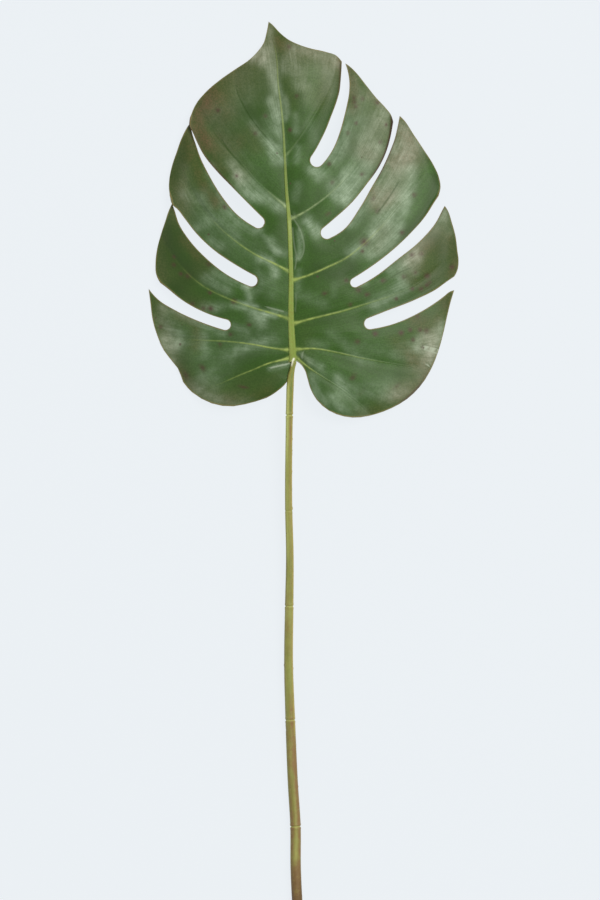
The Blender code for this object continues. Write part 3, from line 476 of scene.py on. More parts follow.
# Its ring joints as place and strength, and the seam's small nubs as place, side, length and rise.
RINGS = [(-42.6, 1.3), (-119, 0.4), (-195.2, 1.0), (-286.3, 1.0), (-371.5, 1.3)]
RING_NECK, RING_NECK_REACH, RING_SWELL, RING_SWELL_AT, RING_SWELL_REACH = 0.42, 0.5, 0.14, 1.5, 0.9
RING_REACH, RING_PITCH = 3.0, 0.25
NUBS = [(-61.4, RIGHT, 1.4, 0.3), (-70.4, RIGHT, 1.0, 0.3), (-73.6, RIGHT, 1.0, 0.25),
        (-87.5, RIGHT, 1.0, 0.3), (-101.4, RIGHT, 0.9, 0.35), (-117, RIGHT, 2.2, 0.35),
        (-242, LEFT, 1.1, 0.4), (-245, RIGHT, 1.3, 0.3), (-306.6, RIGHT, 1.0, 0.35),
        (-293.8, LEFT, 1.2, -0.35), (-340, RIGHT, 1.2, 0.25), (-205, LEFT, 1.0, 0.2)]
NUB_TURN = 0.3
GROOVE, GROOVE_AT, GROOVE_REACH = 0.16, 1.25, 0.35  # a shallow groove along its upper face
CUT_START = 439.7
# Its closed ends, as how far back along it each ring is and its share of the radius.
TOP = [(0.9, 0.0), (0.8, 0.6), (0.5, 0.9)]
CUT = [(0.0, 1.0), (0.0, 0.97), (0.12, 0.93), (0.16, 0.7), (0.16, 0.4), (0.2, 0.0)]
UNCUT = 2.0  # the share that marks the stalk's side, past the cut's edge


def bell(distance, reach):
    """One at no distance, falling as a bell to nothing past about twice its reach."""
    return np.exp(-(distance / reach) ** 2)


def unit(ways):
    """The same directions at length one."""
    return ways / np.maximum(np.linalg.norm(ways, axis=-1, keepdims=True), TINY)


def smooth_curve(points, knots, at):
    """A cubic through the points at their knots, with the slope of a parabola through three neighbours."""
    points, knots, at = np.asarray(points, float), np.asarray(knots, float), np.asarray(at, float)
    slopes = np.gradient(points, knots, axis=0, edge_order=2)
    k = np.clip(np.searchsorted(knots, at, side="right") - 1, 0, len(knots) - 2)
    step = (knots[k + 1] - knots[k])[:, None]
    s = (at - knots[k])[:, None] / step
    return ((2 * s**3 - 3 * s**2 + 1) * points[k] + (s**3 - 2 * s**2 + s) * step * slopes[k]
            + (3 * s**2 - 2 * s**3) * points[k + 1] + (s**3 - s**2) * step * slopes[k + 1])


def run_along(points):
    """The distance along a chain of points, or along each of several."""
    return np.cumsum(np.insert(np.linalg.norm(np.diff(points, axis=-2), axis=-1), 0, 0.0, axis=-1), axis=-1)


def shares_along(points):
    """The same distance, as a share of the whole."""
    run = run_along(points)
    return run / run[-1]


def points_on(way, shares):
    """Points of the smooth line through a few points, at shares of its length."""
    return smooth_curve(way, shares_along(way), shares)


def value_at(table, at):
    """A smooth value read from a table of (place, value)."""
    table, at = np.array(table, float), np.asarray(at, float)
    inside = np.clip(at, table[0, 0], table[-1, 0])
    return smooth_curve(table[:, 1:], table[:, 0], inside.ravel()).reshape(at.shape)


def to_segments(paths, x, y):
    """The distance in plan from each point to every segment of some chains of points, the point's offset from
    the segment's start, and the segment's way."""
    starts = np.vstack([path[:-1] for path in paths])
    ways = np.vstack([np.diff(path, axis=0) for path in paths])
    offset = np.stack([x, y], axis=-1)[..., None, :] - starts
    share = np.clip((offset * ways).sum(axis=-1) / np.maximum((ways**2).sum(axis=-1), TINY), 0, 1)
    return np.linalg.norm(offset - share[..., None] * ways, axis=-1), offset, ways


def distance_to(paths, x, y):
    """The distance in plan from each point to the nearest of some chains of points."""
    return to_segments(paths, x, y)[0].min(axis=-1)


def drawn_line(numbers):
    """The line of a stroke, given as x, y, x, y and so on: smooth where it has more than two points."""
    way = np.array(numbers, float).reshape(-1, 2)
    return points_on(way, np.linspace(0, 1, DRAWN_STEPS * (len(way) - 1) + 1)) if len(way) > 2 else way


def soft_strokes(table, x, y):
    """The sum of soft strokes: each one's strength times a bell of the distance to its line."""
    return sum(strength * bell(distance_to([drawn_line(way)], x, y), half) for strength, half, *way in table)


def soft_spots(table, x, y):
    """The strongest of some soft round spots, given as strength, x, y and half width."""
    return np.max([strength * bell(np.hypot(x - a, y - b), half) for strength, a, b, half in table], axis=0)


def nearest_fold(x, y):
    """The strength of the nearest fold, fading away from its line, and the signed distance across it."""
    lines = [drawn_line(way) for _, *way in FOLDS]
    away, offset, ways = to_segments(lines, x, y)
    strengths = np.repeat([fold[0] for fold in FOLDS], [len(line) - 1 for line in lines])
    nearest = away.argmin(axis=-1)
    pick = (np.arange(len(x)), nearest)
    turned = np.sign(ways[:, 0] * offset[..., 1] - ways[:, 1] * offset[..., 0])
    return strengths[nearest] * bell(away[pick], FOLD_REACH), away[pick] * turned[pick]


def midrib_point(station):
    """The middle of the midrib, at stations up the blade."""
    return smooth_curve(MIDRIB, [y for _, y in MIDRIB], np.clip(np.atleast_1d(station), 0, TIP))


def midrib_side(station, side):
    """The edge of the midrib on one side, at stations up the blade."""
    station = np.atleast_1d(station).astype(float)
    ahead = unit(midrib_point(station + 1) - midrib_point(station - 1))
    out = np.stack([ahead[:, 1], -ahead[:, 0]], axis=1) * side
    return midrib_point(station) + out * value_at(MIDRIB_HALF, station)[:, None]


def slot_edge(slot, side, edge, corner):
    """One side of a slot: straight to its inner end, a quarter turn round it, then along the open edge."""
    join = np.linspace(0, 1, JOIN_ROWS + 1)[:, None]
    turn = np.linspace(0, 1, ROUND_ROWS + 1)[1:, None] * np.pi / 2
    centre, half = np.split(np.array(slot.line, float), [2], axis=1)
    ahead = unit(np.gradient(centre, run_along(centre), axis=0))
    across = np.stack([-ahead[:, 1], ahead[:, 0]], axis=1) * edge
    start = midrib_side(slot.station, side)[0]
    inner_end = centre[0] - half[0] * ahead[0]
    arc = centre[0] + half[0] * (across[0] * np.sin(turn) - ahead[0] * np.cos(turn))
    outer = points_on(np.vstack([centre + across * half, corner]), np.linspace(0, 1, OUTER_ROWS + 1)[1:])
    return np.vstack([start + join * (inner_end - start), arc, outer])


def level_rows(join, turned):
    """The shares of a line at which its rows lie, given where it is level with a slot's start and turn."""
    return np.concatenate([np.linspace(0, join, JOIN_ROWS, endpoint=False),
                           np.linspace(join, turned, ROUND_ROWS, endpoint=False),
                           np.linspace(turned, 1, OUTER_ROWS + 1)])


def fork_stations():
    """The rows along the midrib above the fork, alike on both halves because they share them."""
    return FORK + level_rows(LEAST_JOIN, LEAST_JOIN + LEAST_TURN) * (TIP - FORK)


def vein_path(half, lobe, vein):
    """A side vein's points from the midrib to the margin."""
    return np.vstack([midrib_side(vein.station, half.side), vein.way, lobe.margin[vein.end]])


def vein_rows(way, edges):
    """A side vein as a line of the grid, its rows level with the inner ends of the slots beside it."""
    places = np.linspace(0, 1, VEIN_DENSE)
    dense = points_on(way, places)
    level = (JOIN_ROWS, JOIN_ROWS + ROUND_ROWS)
    feet = [[np.linalg.norm(dense - edge[row], axis=1).argmin() for row in level] for edge in edges]
    join, turned = places[np.min(feet, axis=0)]
    join = max(LEVEL_BACK * join, LEAST_JOIN)
    return points_on(way, level_rows(join, max(turned, join + LEAST_TURN)))


def lobe_lines(half, index):
    """The lines of one lobe from its upper side to its lower, and its slots' shares where its rows lie."""
    lobe, side = half.lobes[index], half.side
    upper = half.slots[index - 1] if index else None
    lower = half.slots[index] if index < len(half.slots) else None
    above = slot_edge(upper, side, -side, lobe.margin[0]) if upper else None
    below = slot_edge(lower, side, side, lobe.margin[-1]) if lower else None
    edges = [edge for edge in (above, below) if edge is not None]
    shares = np.mean([shares_along(edge) for edge in edges], axis=0)
    if upper is None:
        above = midrib_side(fork_stations(), side)
    if lower is None:
        below = points_on(half.sinus, shares)
    place = shares_along(lobe.margin)
    lines = [Line(upper.station if upper else FORK, above, 0.0, lobe.upper_lift)]
    lines += [Line(vein.station, vein_rows(vein_path(half, lobe, vein), edges), place[vein.end], vein=vein)
              for vein in lobe.veins]
    return [*lines, Line(lower.station if lower else 0.0, below, 1.0, lobe.lower_lift)], shares


def all_stations():
    """Where columns leave the midrib below the fork, from the top down: alike on both halves, closer where a
    lobe is long on its margin, and with close ones beside each side vein."""
    fixed, needs = {0.0, FORK}, []
    for half in HALVES:
        for index, lobe in enumerate(half.lobes):
            lines = lobe_lines(half, index)[0]
            length = run_along(lobe.margin)[-1]
            fixed |= {float(line.station) for line in lines}
            fixed |= {line.station + way * step for line in lines if line.vein for step in NEAR_VEIN
                      for way in (-1, 1) if line.station + way * step < FORK}
            needs += [(b.station, a.station, (b.place - a.place) * length) for a, b in zip(lines, lines[1:])]
    fixed = sorted(fixed)
    fixed = [a for a, b in zip(fixed, fixed[1:]) if b - a > MERGE] + fixed[-1:]
    stations = [0.0]
    for low, high in zip(fixed, fixed[1:]):
        margin = max(length * (high - low) / (top - bottom)
                     for bottom, top, length in needs if top > bottom and bottom <= low and high <= top)
        steps = int(np.ceil(max((high - low) / STATION_PITCH, margin / MARGIN_PITCH)))
        stations.extend(np.linspace(low, high, steps + 1)[1:])
    return np.array(stations[::-1])


def columns_between(first, second, stations):
    """The shares of the way between two lines at which columns leave the midrib, and that way in mm."""
    if first.station > second.station:
        inside = stations[(stations <= first.station) & (stations >= second.station)]
        return (first.station - inside) / (first.station - second.station), first.station - second.station
    width = np.linalg.norm(first.rows[-1] - second.rows[-1])  # the fan above the fork
    beside = [1 - step / width for step in NEAR_VEIN[::-1]]
    even = np.linspace(0, beside[0], int(np.ceil(width / MARGIN_PITCH)) + 1)
    return np.concatenate([even, beside[1:], [1.0]]), width


def held_columns(first, second, u, gap):
    """The share of the way across of each column at each row: the columns beside a vein keep their distance
    from it, and the rest share the space between them."""
    u, reach = u[:, None], NEAR_VEIN[-1]
    width = np.maximum(np.linalg.norm(second.rows - first.rows, axis=1), TINY)
    held = [np.minimum(reach / width, NEAR_LIMIT) * bool(line.vein) for line in (first, second)]
    rest = [reach / gap * bool(line.vein) for line in (first, second)]
    middle = (u - rest[0]) / (1 - sum(rest)) * (1 - held[0] - held[1]) + held[0]
    near_first, near_second = u * gap / reach * held[0], 1 - (1 - u) * gap / reach * held[1]
    return np.clip(np.where(u < rest[0], near_first, np.where(u > 1 - rest[1], near_second, middle)), 0, 1)


def face_height(half, edges, x, y):
    """Height of the upper face, and the distance to its free edges: its arch, channel at the midrib, slow
    wave, quilting between the veins, valley beside each vein, turned edges and creases."""
    out = np.abs(x - midrib_point(y.ravel())[:, 0].reshape(x.shape))
    channel = CHANNEL_SLOPE * out * np.exp(-out / CHANNEL_REACH)
    sway = SWAY * np.sin(x / SWAY_X + SWAY_START) * np.sin(y / SWAY_Y) * np.clip(out / SWAY_REACH, 0, 1)
    ways = [vein_path(half, lobe, vein) for lobe in half.lobes for vein in lobe.veins]
    to_vein = distance_to([points_on(way, np.linspace(0, 1, VEIN_POINTS)) for way in ways], x, y)
    quilt = QUILT * (1 - bell(to_vein, QUILT_REACH)) - VALLEY * bell(to_vein, VALLEY_REACH)
    quilt *= 1 - np.exp(-out / QUILT_REACH)
    to_edge = distance_to(edges, x, y)
    height = value_at(SPINE, y) - FALL[half.side] * out**2 + channel + sway + quilt
    height -= CURL * bell(to_edge, CURL_REACH)
    if half.side == LEFT:
        start = np.hypot(x - half.sinus[0][0], y - half.sinus[0][1])
        near = distance_to([half.sinus], x, y)
        height -= TUCK * bell(near, TUCK_REACH) * (1 - bell(start, TUCK_START)) * bell(start, TUCK_END)
    return height + soft_strokes(CREASES, x, y), to_edge


def land(height, blade):
    """Flattens what would sink below the table, over a short depth, so that a lobe lies flat on it."""
    above = height - blade
    eased = (above + LANDING) ** 2 / (4 * LANDING)
    return blade + np.where(above > LANDING, above, np.where(above < -LANDING, 0.0, eased))


def free_edges(lobe, lines):
    """The open boundary of a lobe: its margin, and its slots from their inner ends out."""
    sides = [line for line in (lines[0], lines[-1]) if line.station != FORK]
    return [lobe.margin, *(line.rows[JOIN_ROWS if line.station else 0:] for line in sides)]


def sector_grid(half, lobe, pair, free, shares, stations, across, sizes):
    """The grid between two lines of a lobe, as channels: x, y, height, depth, vein, midrib, edge, across and
    along. A point is the mix of the two lines by its share of the way, moved onto the midrib and the margin
    at its ends."""
    (first, second), blade = pair, sizes.blade / MM
    u, gap = columns_between(first, second, stations)
    spread = held_columns(first, second, u, gap)
    v = shares[None, :]
    plan = (1 - spread[..., None]) * first.rows + spread[..., None] * second.rows
    if first.station > second.station:
        at = first.station + u * (second.station - first.station)
        plan += (midrib_side(at, half.side) - plan[:, 0])[:, None] * (1 - v[..., None]) ** 3
    outer = points_on(lobe.margin, first.place + spread[:, -1] * (second.place - first.place))
    plan += (outer - plan[:, -1])[:, None] * v[..., None] ** 2
    x, y = plan[..., 0], plan[..., 1]
    opened = np.clip((v - shares[JOIN_ROWS]) / (1 - shares[JOIN_ROWS]), 0, 1) ** 2
    lift = (first.lift * (1 - spread) ** 3 + second.lift * spread**3) * opened
    height, to_edge = face_height(half, free, x, y)
    height = land(height + lift, blade)
    flat = np.clip((height - blade) / RIB_LANDING, 0, 1)
    rise = back = colour = np.zeros(x.shape)
    for line in [line for line in pair if line.vein]:
        away = distance_to([line.rows], x, y)
        begun = np.exp(-run_along(line.rows) / VEIN_START)
        ridge = (1 - begun) * (1 - VEIN_FADE * v)
        narrowed = 1 - VEIN_TAPER * v
        rise = np.maximum(rise, ridge * bell(away, VEIN_WIDTH * narrowed))
        back = np.maximum(back, ridge * bell(away, VEIN_BACK_WIDTH))
        tone = line.vein.late + (line.vein.tone - line.vein.late) * bell(v, VEIN_BRIGHT)
        tone = tone / (1 + np.exp((v - line.vein.fade) / VEIN_END))
        colour = colour + tone * bell(away, VEIN_WIDTH * (narrowed + VEIN_FLARE * begun))
    width = np.linalg.norm(second.rows - first.rows, axis=1).mean()
    channels = (x, y, height + sizes.vein_rise / MM * rise * flat, blade + VEIN_DEPTH * back * flat, colour,
                0 * x, to_edge, across + u[:, None] * width + 0 * x, run_along(plan))
    return np.stack(channels, axis=-1), across + width


def midrib_grid(stations, edges, sizes):
    """The midrib as a strip from edge to edge: crowned as a flattened half round above and deeper below."""
    blade = sizes.blade / MM
    across = np.linspace(-1, 1, 2 * ACROSS_RIB + 1)[None, :]
    centre = midrib_point(stations)[:, None]
    plan = centre + sum(np.maximum(side * across, 0)[..., None]
                        * (midrib_side(stations, side)[:, None] - centre) for side in (LEFT, RIGHT))
    x, y = plan[..., 0], plan[..., 1]
    (right, right_edge), (left, left_edge) = (face_height(half, edges[half.side], x, y) for half in HALVES)
    face = land(np.where(across < 0, left, right), blade)
    half_width = value_at(MIDRIB_HALF, stations)[:, None]
    crown = half_width * np.sqrt(1 - across**2) * np.clip((face - blade) / RIB_LANDING, 0, 1)
    crisp = np.clip(RIB_CRISP * half_width, 1, RIB_CRISPEST)
    shown = np.clip(half_width / RIB_SHOWN, 0, 1) * (1 - np.abs(across) ** crisp)
    joins = [(vein.tone, *midrib_side(vein.station, half.side)[0], VEIN_WIDTH * (1 + VEIN_FLARE))
             for half in HALVES for lobe in half.lobes for vein in lobe.veins]
    channels = (x, y, face + sizes.rib_rise * crown, blade + crown, soft_spots(joins, x, y), shown,
                np.minimum(left_edge, right_edge), across * half_width, y)
    return np.stack(channels, axis=-1)


def blade_grids(sizes):
    """Every grid of the upper face, which share their edge points."""
    stations = all_stations()
    grids, edges = [], {LEFT: [], RIGHT: []}
    for half in HALVES:
        across = half.side * LAY_START
        for index, lobe in enumerate(half.lobes):
            lines, shares = lobe_lines(half, index)
            free = free_edges(lobe, lines)
            edges[half.side] += free
            for pair in zip(lines, lines[1:]):
                grid, across = sector_grid(half, lobe, pair, free, shares, stations, across, sizes)
                grids.append(grid)
    return [*grids, midrib_grid(np.concatenate([fork_stations()[:0:-1], stations]), edges, sizes)]


def new_mesh(name, points, faces, values):
    """A mesh with one number kept for each point under each name, for its material to read."""
    mesh = bpy.data.meshes.new(name)
    mesh.from_pydata(points, [], faces.tolist())
    for title, numbers in values.items():
        kept = mesh.attributes.new(title, "FLOAT", "POINT")
        kept.data.foreach_set("value", np.ascontiguousarray(numbers, np.float32).ravel())
    return mesh


def add_map(mesh, lay):
    """Keeps the place across and along the side veins at each corner of a mesh."""
    mesh.uv_layers.new(name="lay").data.foreach_set("uv", lay.astype(np.float32).ravel())


def finish_mesh(mesh, materials, sharp):
    """Gives each face its material, and smooth shading up to the sharp angle."""
    mesh.polygons.foreach_set("material_index", materials.astype(np.int32))
    mesh.shade_smooth()
    mesh.set_sharp_from_angle(angle=np.radians(sharp))
    return mesh


def read_values(source, key, width, kind=np.float32):
    """Reads one property of all of a mesh's points, corners or faces, as rows of this width."""
    values = np.empty(len(source) * width, kind)
    source.foreach_get(key, values)
    return values.reshape(-1, width)


def cleaned(mesh, reach, triangles=False):
    """Merges points closer than the reach, turns the faces outwards and, where asked, cuts each face into
    triangles on the diagonal that folds least, with their normals up."""
    bm = bmesh.new()
    bm.from_mesh(mesh)
    bmesh.ops.remove_doubles(bm, verts=bm.verts, dist=reach)
    if triangles:
        bmesh.ops.triangulate(bm, faces=bm.faces, quad_method="BEAUTY")
    bmesh.ops.recalc_face_normals(bm, faces=bm.faces)
    if triangles and sum(face.normal.z for face in bm.faces) < 0:
        bmesh.ops.reverse_faces(bm, faces=bm.faces)
    bm.to_mesh(mesh)
    bm.free()


def grid_squares(shape, start):
    """The squares of a grid of points numbered row by row."""
    index = start + np.arange(shape[0] * shape[1]).reshape(shape)
    return np.stack([index[:-1, :-1], index[1:, :-1], index[1:, 1:], index[:-1, 1:]], axis=-1).reshape(-1, 4)


def merged_face(grids):
    """The upper face as triangles: the grids laid side by side and merged where their points meet. Gives the
    points, their normals, the triangles, each corner's lay, and the channels by name."""
    starts = np.cumsum([0] + [grid[..., 0].size for grid in grids])
    rows = np.vstack([grid.reshape(-1, grid.shape[-1]) for grid in grids])
    squares = np.vstack([grid_squares(grid.shape[:2], start) for grid, start in zip(grids, starts)])
    names = ("depth", "vein", "rib", "edge")
    mesh = new_mesh("leaf_face", rows[:, :3], squares, dict(zip(names, rows[:, 3:7].T)))
    add_map(mesh, rows[squares.ravel(), 7:9])
    cleaned(mesh, MERGE, triangles=True)
    points, normals = (read_values(mesh.vertices, key, 3).astype(float) for key in ("co", "normal"))
    triangles = read_values(mesh.loops, "vertex_index", 1, np.int32).reshape(-1, 3)
    lay = read_values(mesh.uv_layers["lay"].data, "uv", 2).reshape(-1, 3, 2)
    channels = {name: read_values(mesh.attributes[name].data, "value", 1).ravel() for name in names}
    bpy.data.meshes.remove(mesh)
    return points, normals, triangles, lay, channels


def open_edges(triangles):
    """The edges that belong to one triangle only, each in that triangle's turning sense."""
    edges = np.vstack([triangles[:, [0, 1]], triangles[:, [1, 2]], triangles[:, [2, 0]]])
    ordered = np.sort(edges, axis=1)
    keys = ordered[:, 0].astype(np.int64) * (ordered.max() + 1) + ordered[:, 1]
    inverse, counts = np.unique(keys, return_inverse=True, return_counts=True)[1:]
    return edges[counts[inverse] == 1]


def in_frame(place):
    """Plan points in millimetres as points of the row frame, over the table and inside the solids' box."""
    return np.clip((place + (*BASE, 0.0)) * MM, CAD_LOW[:], CAD_HIGH[:])


def blade_mesh(sizes):
    """The blade as a closed shell: its upper face, the same face moved down along its normals by its depth,
    and a rim whose middle bulges outwards between them."""
    points, normals, triangles, lay, channels = merged_face(blade_grids(sizes))
    count = len(points)
    lower = points - normals * channels.pop("depth")[:, None]
    rim = open_edges(triangles)
    way = points[rim[:, 1], :2] - points[rim[:, 0], :2]
    out = np.zeros((count, 2))
    np.add.at(out, rim.ravel(), np.repeat(np.stack([way[:, 1], -way[:, 0]], axis=1), 2, axis=0))
    border = np.unique(rim)
    middle = (points[border] + lower[border]) / 2
    middle[:, :2] += unit(out[border]) * sizes.rim_bulge / MM
    between = np.full(count, -1)
    between[border] = 2 * count + np.arange(len(border))
    a, b = rim.T
    walls = ((a, between[a], between[b]), (a, between[b], b), (between[a], a + count, b + count),
             (between[a], b + count, between[b]))
    walls = np.vstack([np.stack(wall, axis=1) for wall in walls])
    source = np.concatenate([np.arange(count), np.arange(count), border])
    point_lay = np.zeros((count, 2))
    point_lay[triangles.ravel()] = lay.reshape(-1, 2)
    x, y = points[:, 0], points[:, 1]
    channels |= {name: soft_strokes(table, x, y) for name, table in STROKES.items()}
    freckles = [(strength, *spot) for strength, spots in FRECKLES.items() for spot in spots]
    channels["freckle"] = soft_spots(freckles, x, y)
    channels["fold"], channels["fold_side"] = nearest_fold(x, y)
    mesh = new_mesh("leaf_blade_dressed", in_frame(np.vstack([points, lower, middle])),
                    np.vstack([triangles, triangles[:, ::-1] + count, walls]),
                    {name: values[source] for name, values in channels.items()})
    add_map(mesh, np.concatenate([lay, lay[:, ::-1], point_lay[source[walls]]]))
    return finish_mesh(mesh, np.repeat([0, 1, 2], [len(triangles), len(triangles), len(walls)]), BLADE_SHARP)


def stalk_rows():
    """Distances down the stalk at which its rings of points lie: even, and close at each ring joint."""
    top, end = -STALK[0][1], -STALK[-1][1]
    even = np.arange(top, end, STALK_PITCH)
    close = np.arange(-RING_REACH, RING_REACH + RING_PITCH / 2, RING_PITCH)
    clear = even[np.min([np.abs(even + ring) for ring, _ in RINGS], axis=0) > RING_REACH + STALK_PITCH / 2]
    return np.unique(np.concatenate([clear, *[close - ring for ring, _ in RINGS], [end]]))


def stalk_bands(table, side, down):
    """The sum of stripes: each one's strength times a bell of the distance across, from start to end."""
    return sum(strength * bell(side - at, half) / (1 + np.exp((start - down) / STALK_FADE))
               / (1 + np.exp((down - end) / STALK_FADE)) for strength, at, half, start, end in table)


def stalk_mesh():
    """The stalk as a round tube along its line. Its radius follows the table, necks in at each ring joint
    between two low swellings, has a shallow groove along the top and small nubs on its seam, and both ends
    are closed."""
    down = stalk_rows()
    path = smooth_curve(STALK, [-y for _, y, _, _ in STALK], down)
    centre, radius = path[:, :3], path[:, 3]
    ahead = unit(np.gradient(centre, down, axis=0))
    aside = unit(np.cross((0.0, 0.0, 1.0), ahead))
    above = np.cross(ahead, aside)
    turn = np.linspace(-np.pi / 2, 1.5 * np.pi, STALK_SIDES, endpoint=False)[None, :]
    joint = np.zeros(len(down))
    for ring, strength in RINGS:
        away = np.abs(down + ring)
        joint += strength * bell(away, RING_NECK_REACH)
        radius = radius + strength * RING_SWELL * bell(away - RING_SWELL_AT, RING_SWELL_REACH)
    spread = (radius - RING_NECK * joint)[:, None] - GROOVE * bell(turn - GROOVE_AT, GROOVE_REACH)
    for at, side, length, rise in NUBS:
        facing = 0.0 if side == RIGHT else np.pi
        spread = spread + rise * bell(down + at, length / 2)[:, None] * bell(turn - facing, NUB_TURN)
    rings = centre[:, None] + spread[..., None] * (np.cos(turn)[..., None] * aside[:, None]
                                                   + np.sin(turn)[..., None] * above[:, None])
    first = [centre[0] + (rings[0] - centre[0]) * share - ahead[0] * back for back, share in TOP]
    last = [centre[-1] + (rings[-1] - centre[-1]) * share - ahead[-1] * back for back, share in CUT]
    rings = np.concatenate([first, rings, last])
    rows, sides = rings.shape[:2]
    wrap = np.arange(rows - 1) * sides
    seam = np.stack([wrap + sides - 1, wrap + 2 * sides - 1, wrap + sides, wrap], axis=1)
    squares = np.vstack([grid_squares((rows, sides), 0), seam])[:, ::-1]
    full = np.zeros((rows, sides))
    down = np.pad(down, (len(first), len(last)), "edge")[:, None] + full
    pith = np.full(rows, UNCUT)
    pith[-len(CUT):] = [share for _, share in CUT]
    joint = np.pad(joint, (len(first), len(last)))[:, None] + full
    side, up = np.cos(turn) + full, np.sin(turn) + full
    values = {"down": down, "joint": joint, "side": side, "up": up, "pith": pith[:, None] + full,
              "glint": soft_strokes(GLINT, rings[..., 0], rings[..., 1]) * np.clip(up, 0, 1)}
    values |= {name: stalk_bands(table, side, down) for name, table in STALK_BANDS.items()}
    mesh = new_mesh("leaf_stalk_dressed", in_frame(rings.reshape(-1, 3)), squares, values)
    cleaned(mesh, MERGE * MM / 2)
    middle = read_values(mesh.polygons, "center", 3)[:, 1]
    return finish_mesh(mesh, middle < (BASE[1] - CUT_START) * MM, STALK_SHARP)


def feed(socket, value):
    """Links a socket from another, or sets its own value."""
    if isinstance(value, Value):
        socket.id_data.links.new(value.socket, socket)
    else:
        socket.default_value = (*value, 1.0) if socket.type == "RGBA" else value


def add(tree, kind, given=(), **settings):
    """Adds a node with its settings and its inputs, given by name or in order. Gives its first output."""
    node = tree.nodes.new("ShaderNode" + kind)
    for name, value in settings.items():
        setattr(node, name, value)
    for place, value in given.items() if isinstance(given, dict) else enumerate(given):
        feed(node.inputs[place], value)
    return Value(node.outputs[0])


class Value:
    """What a node puts out. A sum on it adds the node that works it out."""

    def __init__(self, socket):
        """Keeps the output's socket."""
        self.socket = socket

    def __getitem__(self, name):
        """Another output of the same node."""
        return Value(self.socket.node.outputs[name])

    def follow(self, kind, given, **settings):
        """Adds a node to the same tree."""
        return add(self.socket.id_data, kind, given, **settings)

    def maths(self, operation, *others):
        """One sum on this and other values."""
        return self.follow("Math", (self, *others), operation=operation)

    __add__ = partialmethod(maths, "ADD")
    __sub__ = partialmethod(maths, "SUBTRACT")
    __mul__ = partialmethod(maths, "MULTIPLY")
    __truediv__ = partialmethod(maths, "DIVIDE")
    __abs__ = partialmethod(maths, "ABSOLUTE")
    most = partialmethod(maths, "MAXIMUM")
    under = partialmethod(maths, "LESS_THAN")

    def step(self, low, high, first=0.0, last=1.0):
        """A smooth step from first to last while this goes from low to high."""
        return self.follow("MapRange", (self, low, high, first, last), interpolation_type="SMOOTHSTEP")

    def mix(self, first, second):
        """A colour between two others, by this share kept between nought and one."""
        return self.follow("Mix", {0: self, 6: first, 7: second}, data_type="RGBA")[2]

    def noise(self, scale, detail=2.0, roughness=0.5):
        """Soft cloudy noise at this place, as one number."""
        given = {"Vector": self, "Scale": scale, "Detail": detail, "Roughness": roughness}
        return self.follow("TexNoise", given)


def layered(colour, *layers):
    """A colour with others laid over it, each by its own share."""
    for share, over in layers:
        colour = share.mix(colour, over)
    return colour


def new_group(name, outputs, **inputs):
    """A shader node group whose inputs have these defaults, numbers or vectors. Gives the group, what comes
    in and the sockets that put out."""
    group = bpy.data.node_groups.new(name, "ShaderNodeTree")
    for title, default in inputs.items():
        kind = "NodeSocketFloat" if isinstance(default, float) else "NodeSocketVector"
        group.interface.new_socket(title, in_out="INPUT", socket_type=kind).default_value = default
    for title in outputs:
        group.interface.new_socket(title, in_out="OUTPUT", socket_type="NodeSocketFloat")
    given = Value(group.nodes.new("NodeGroupInput").outputs[0])
    return group, given, group.nodes.new("NodeGroupOutput").inputs


def fine_streaks():
    """Fine parallel lines: noise on a place whose first part runs across them and whose second runs along
    them, the first divided by the spacing and the second by the spacing and the stretch."""
    inputs = {"Place": (0, 0, 0), "Spacing": 1.0, "Stretch": 20.0}
    group, given, put = new_group("fine_streaks", ["Streaks", "Bands"], **inputs)
    parts = add(group, "SeparateXYZ", [given["Place"]])
    across = parts["X"] / given["Spacing"]
    along = parts["Y"] / (given["Spacing"] * given["Stretch"])
    lay = add(group, "CombineXYZ", (across, along, parts["Z"]))
    feed(put["Streaks"], lay.noise(1.0, 2.0, 0.6).step(0.32, 0.68))
    feed(put["Bands"], lay.noise(0.22, 1.0).step(0.35, 0.65))
    return group


def scattered_spots():
    """Scattered small spots: cells of the given spacing, of which only some hold a spot, soft at its edge."""
    group, given, put = new_group("scattered_spots", ["Spots"], Spacing=0.01, Radius=0.1, Share=0.3)
    scale = add(group, "Math", (1.0, given["Spacing"]), operation="DIVIDE")
    cells = add(group, "TexVoronoi", {"Vector": add(group, "TexCoord")["Object"], "Scale": scale})
    chance = add(group, "SeparateColor", [cells["Color"]])
    size = given["Radius"] * (chance["Green"] + 0.4)
    spot = cells["Distance"].step(size * 0.4, size, 1.0, 0.0)
    feed(put["Spots"], chance["Red"].under(given["Share"]) * spot)
    return group


def skin_grain():
    """Fine unevenness of a leaf's skin: two sizes of noise on the place in the object."""
    group, given, put = new_group("skin_grain", ["Grain"], Size=0.002)
    scale = add(group, "Math", (1.0, given["Size"]), operation="DIVIDE")
    place = add(group, "TexCoord")["Object"]
    feed(put["Grain"], place.noise(scale, 1.0) + place.noise(scale * 4.0, 1.0) * 0.35)
    return group


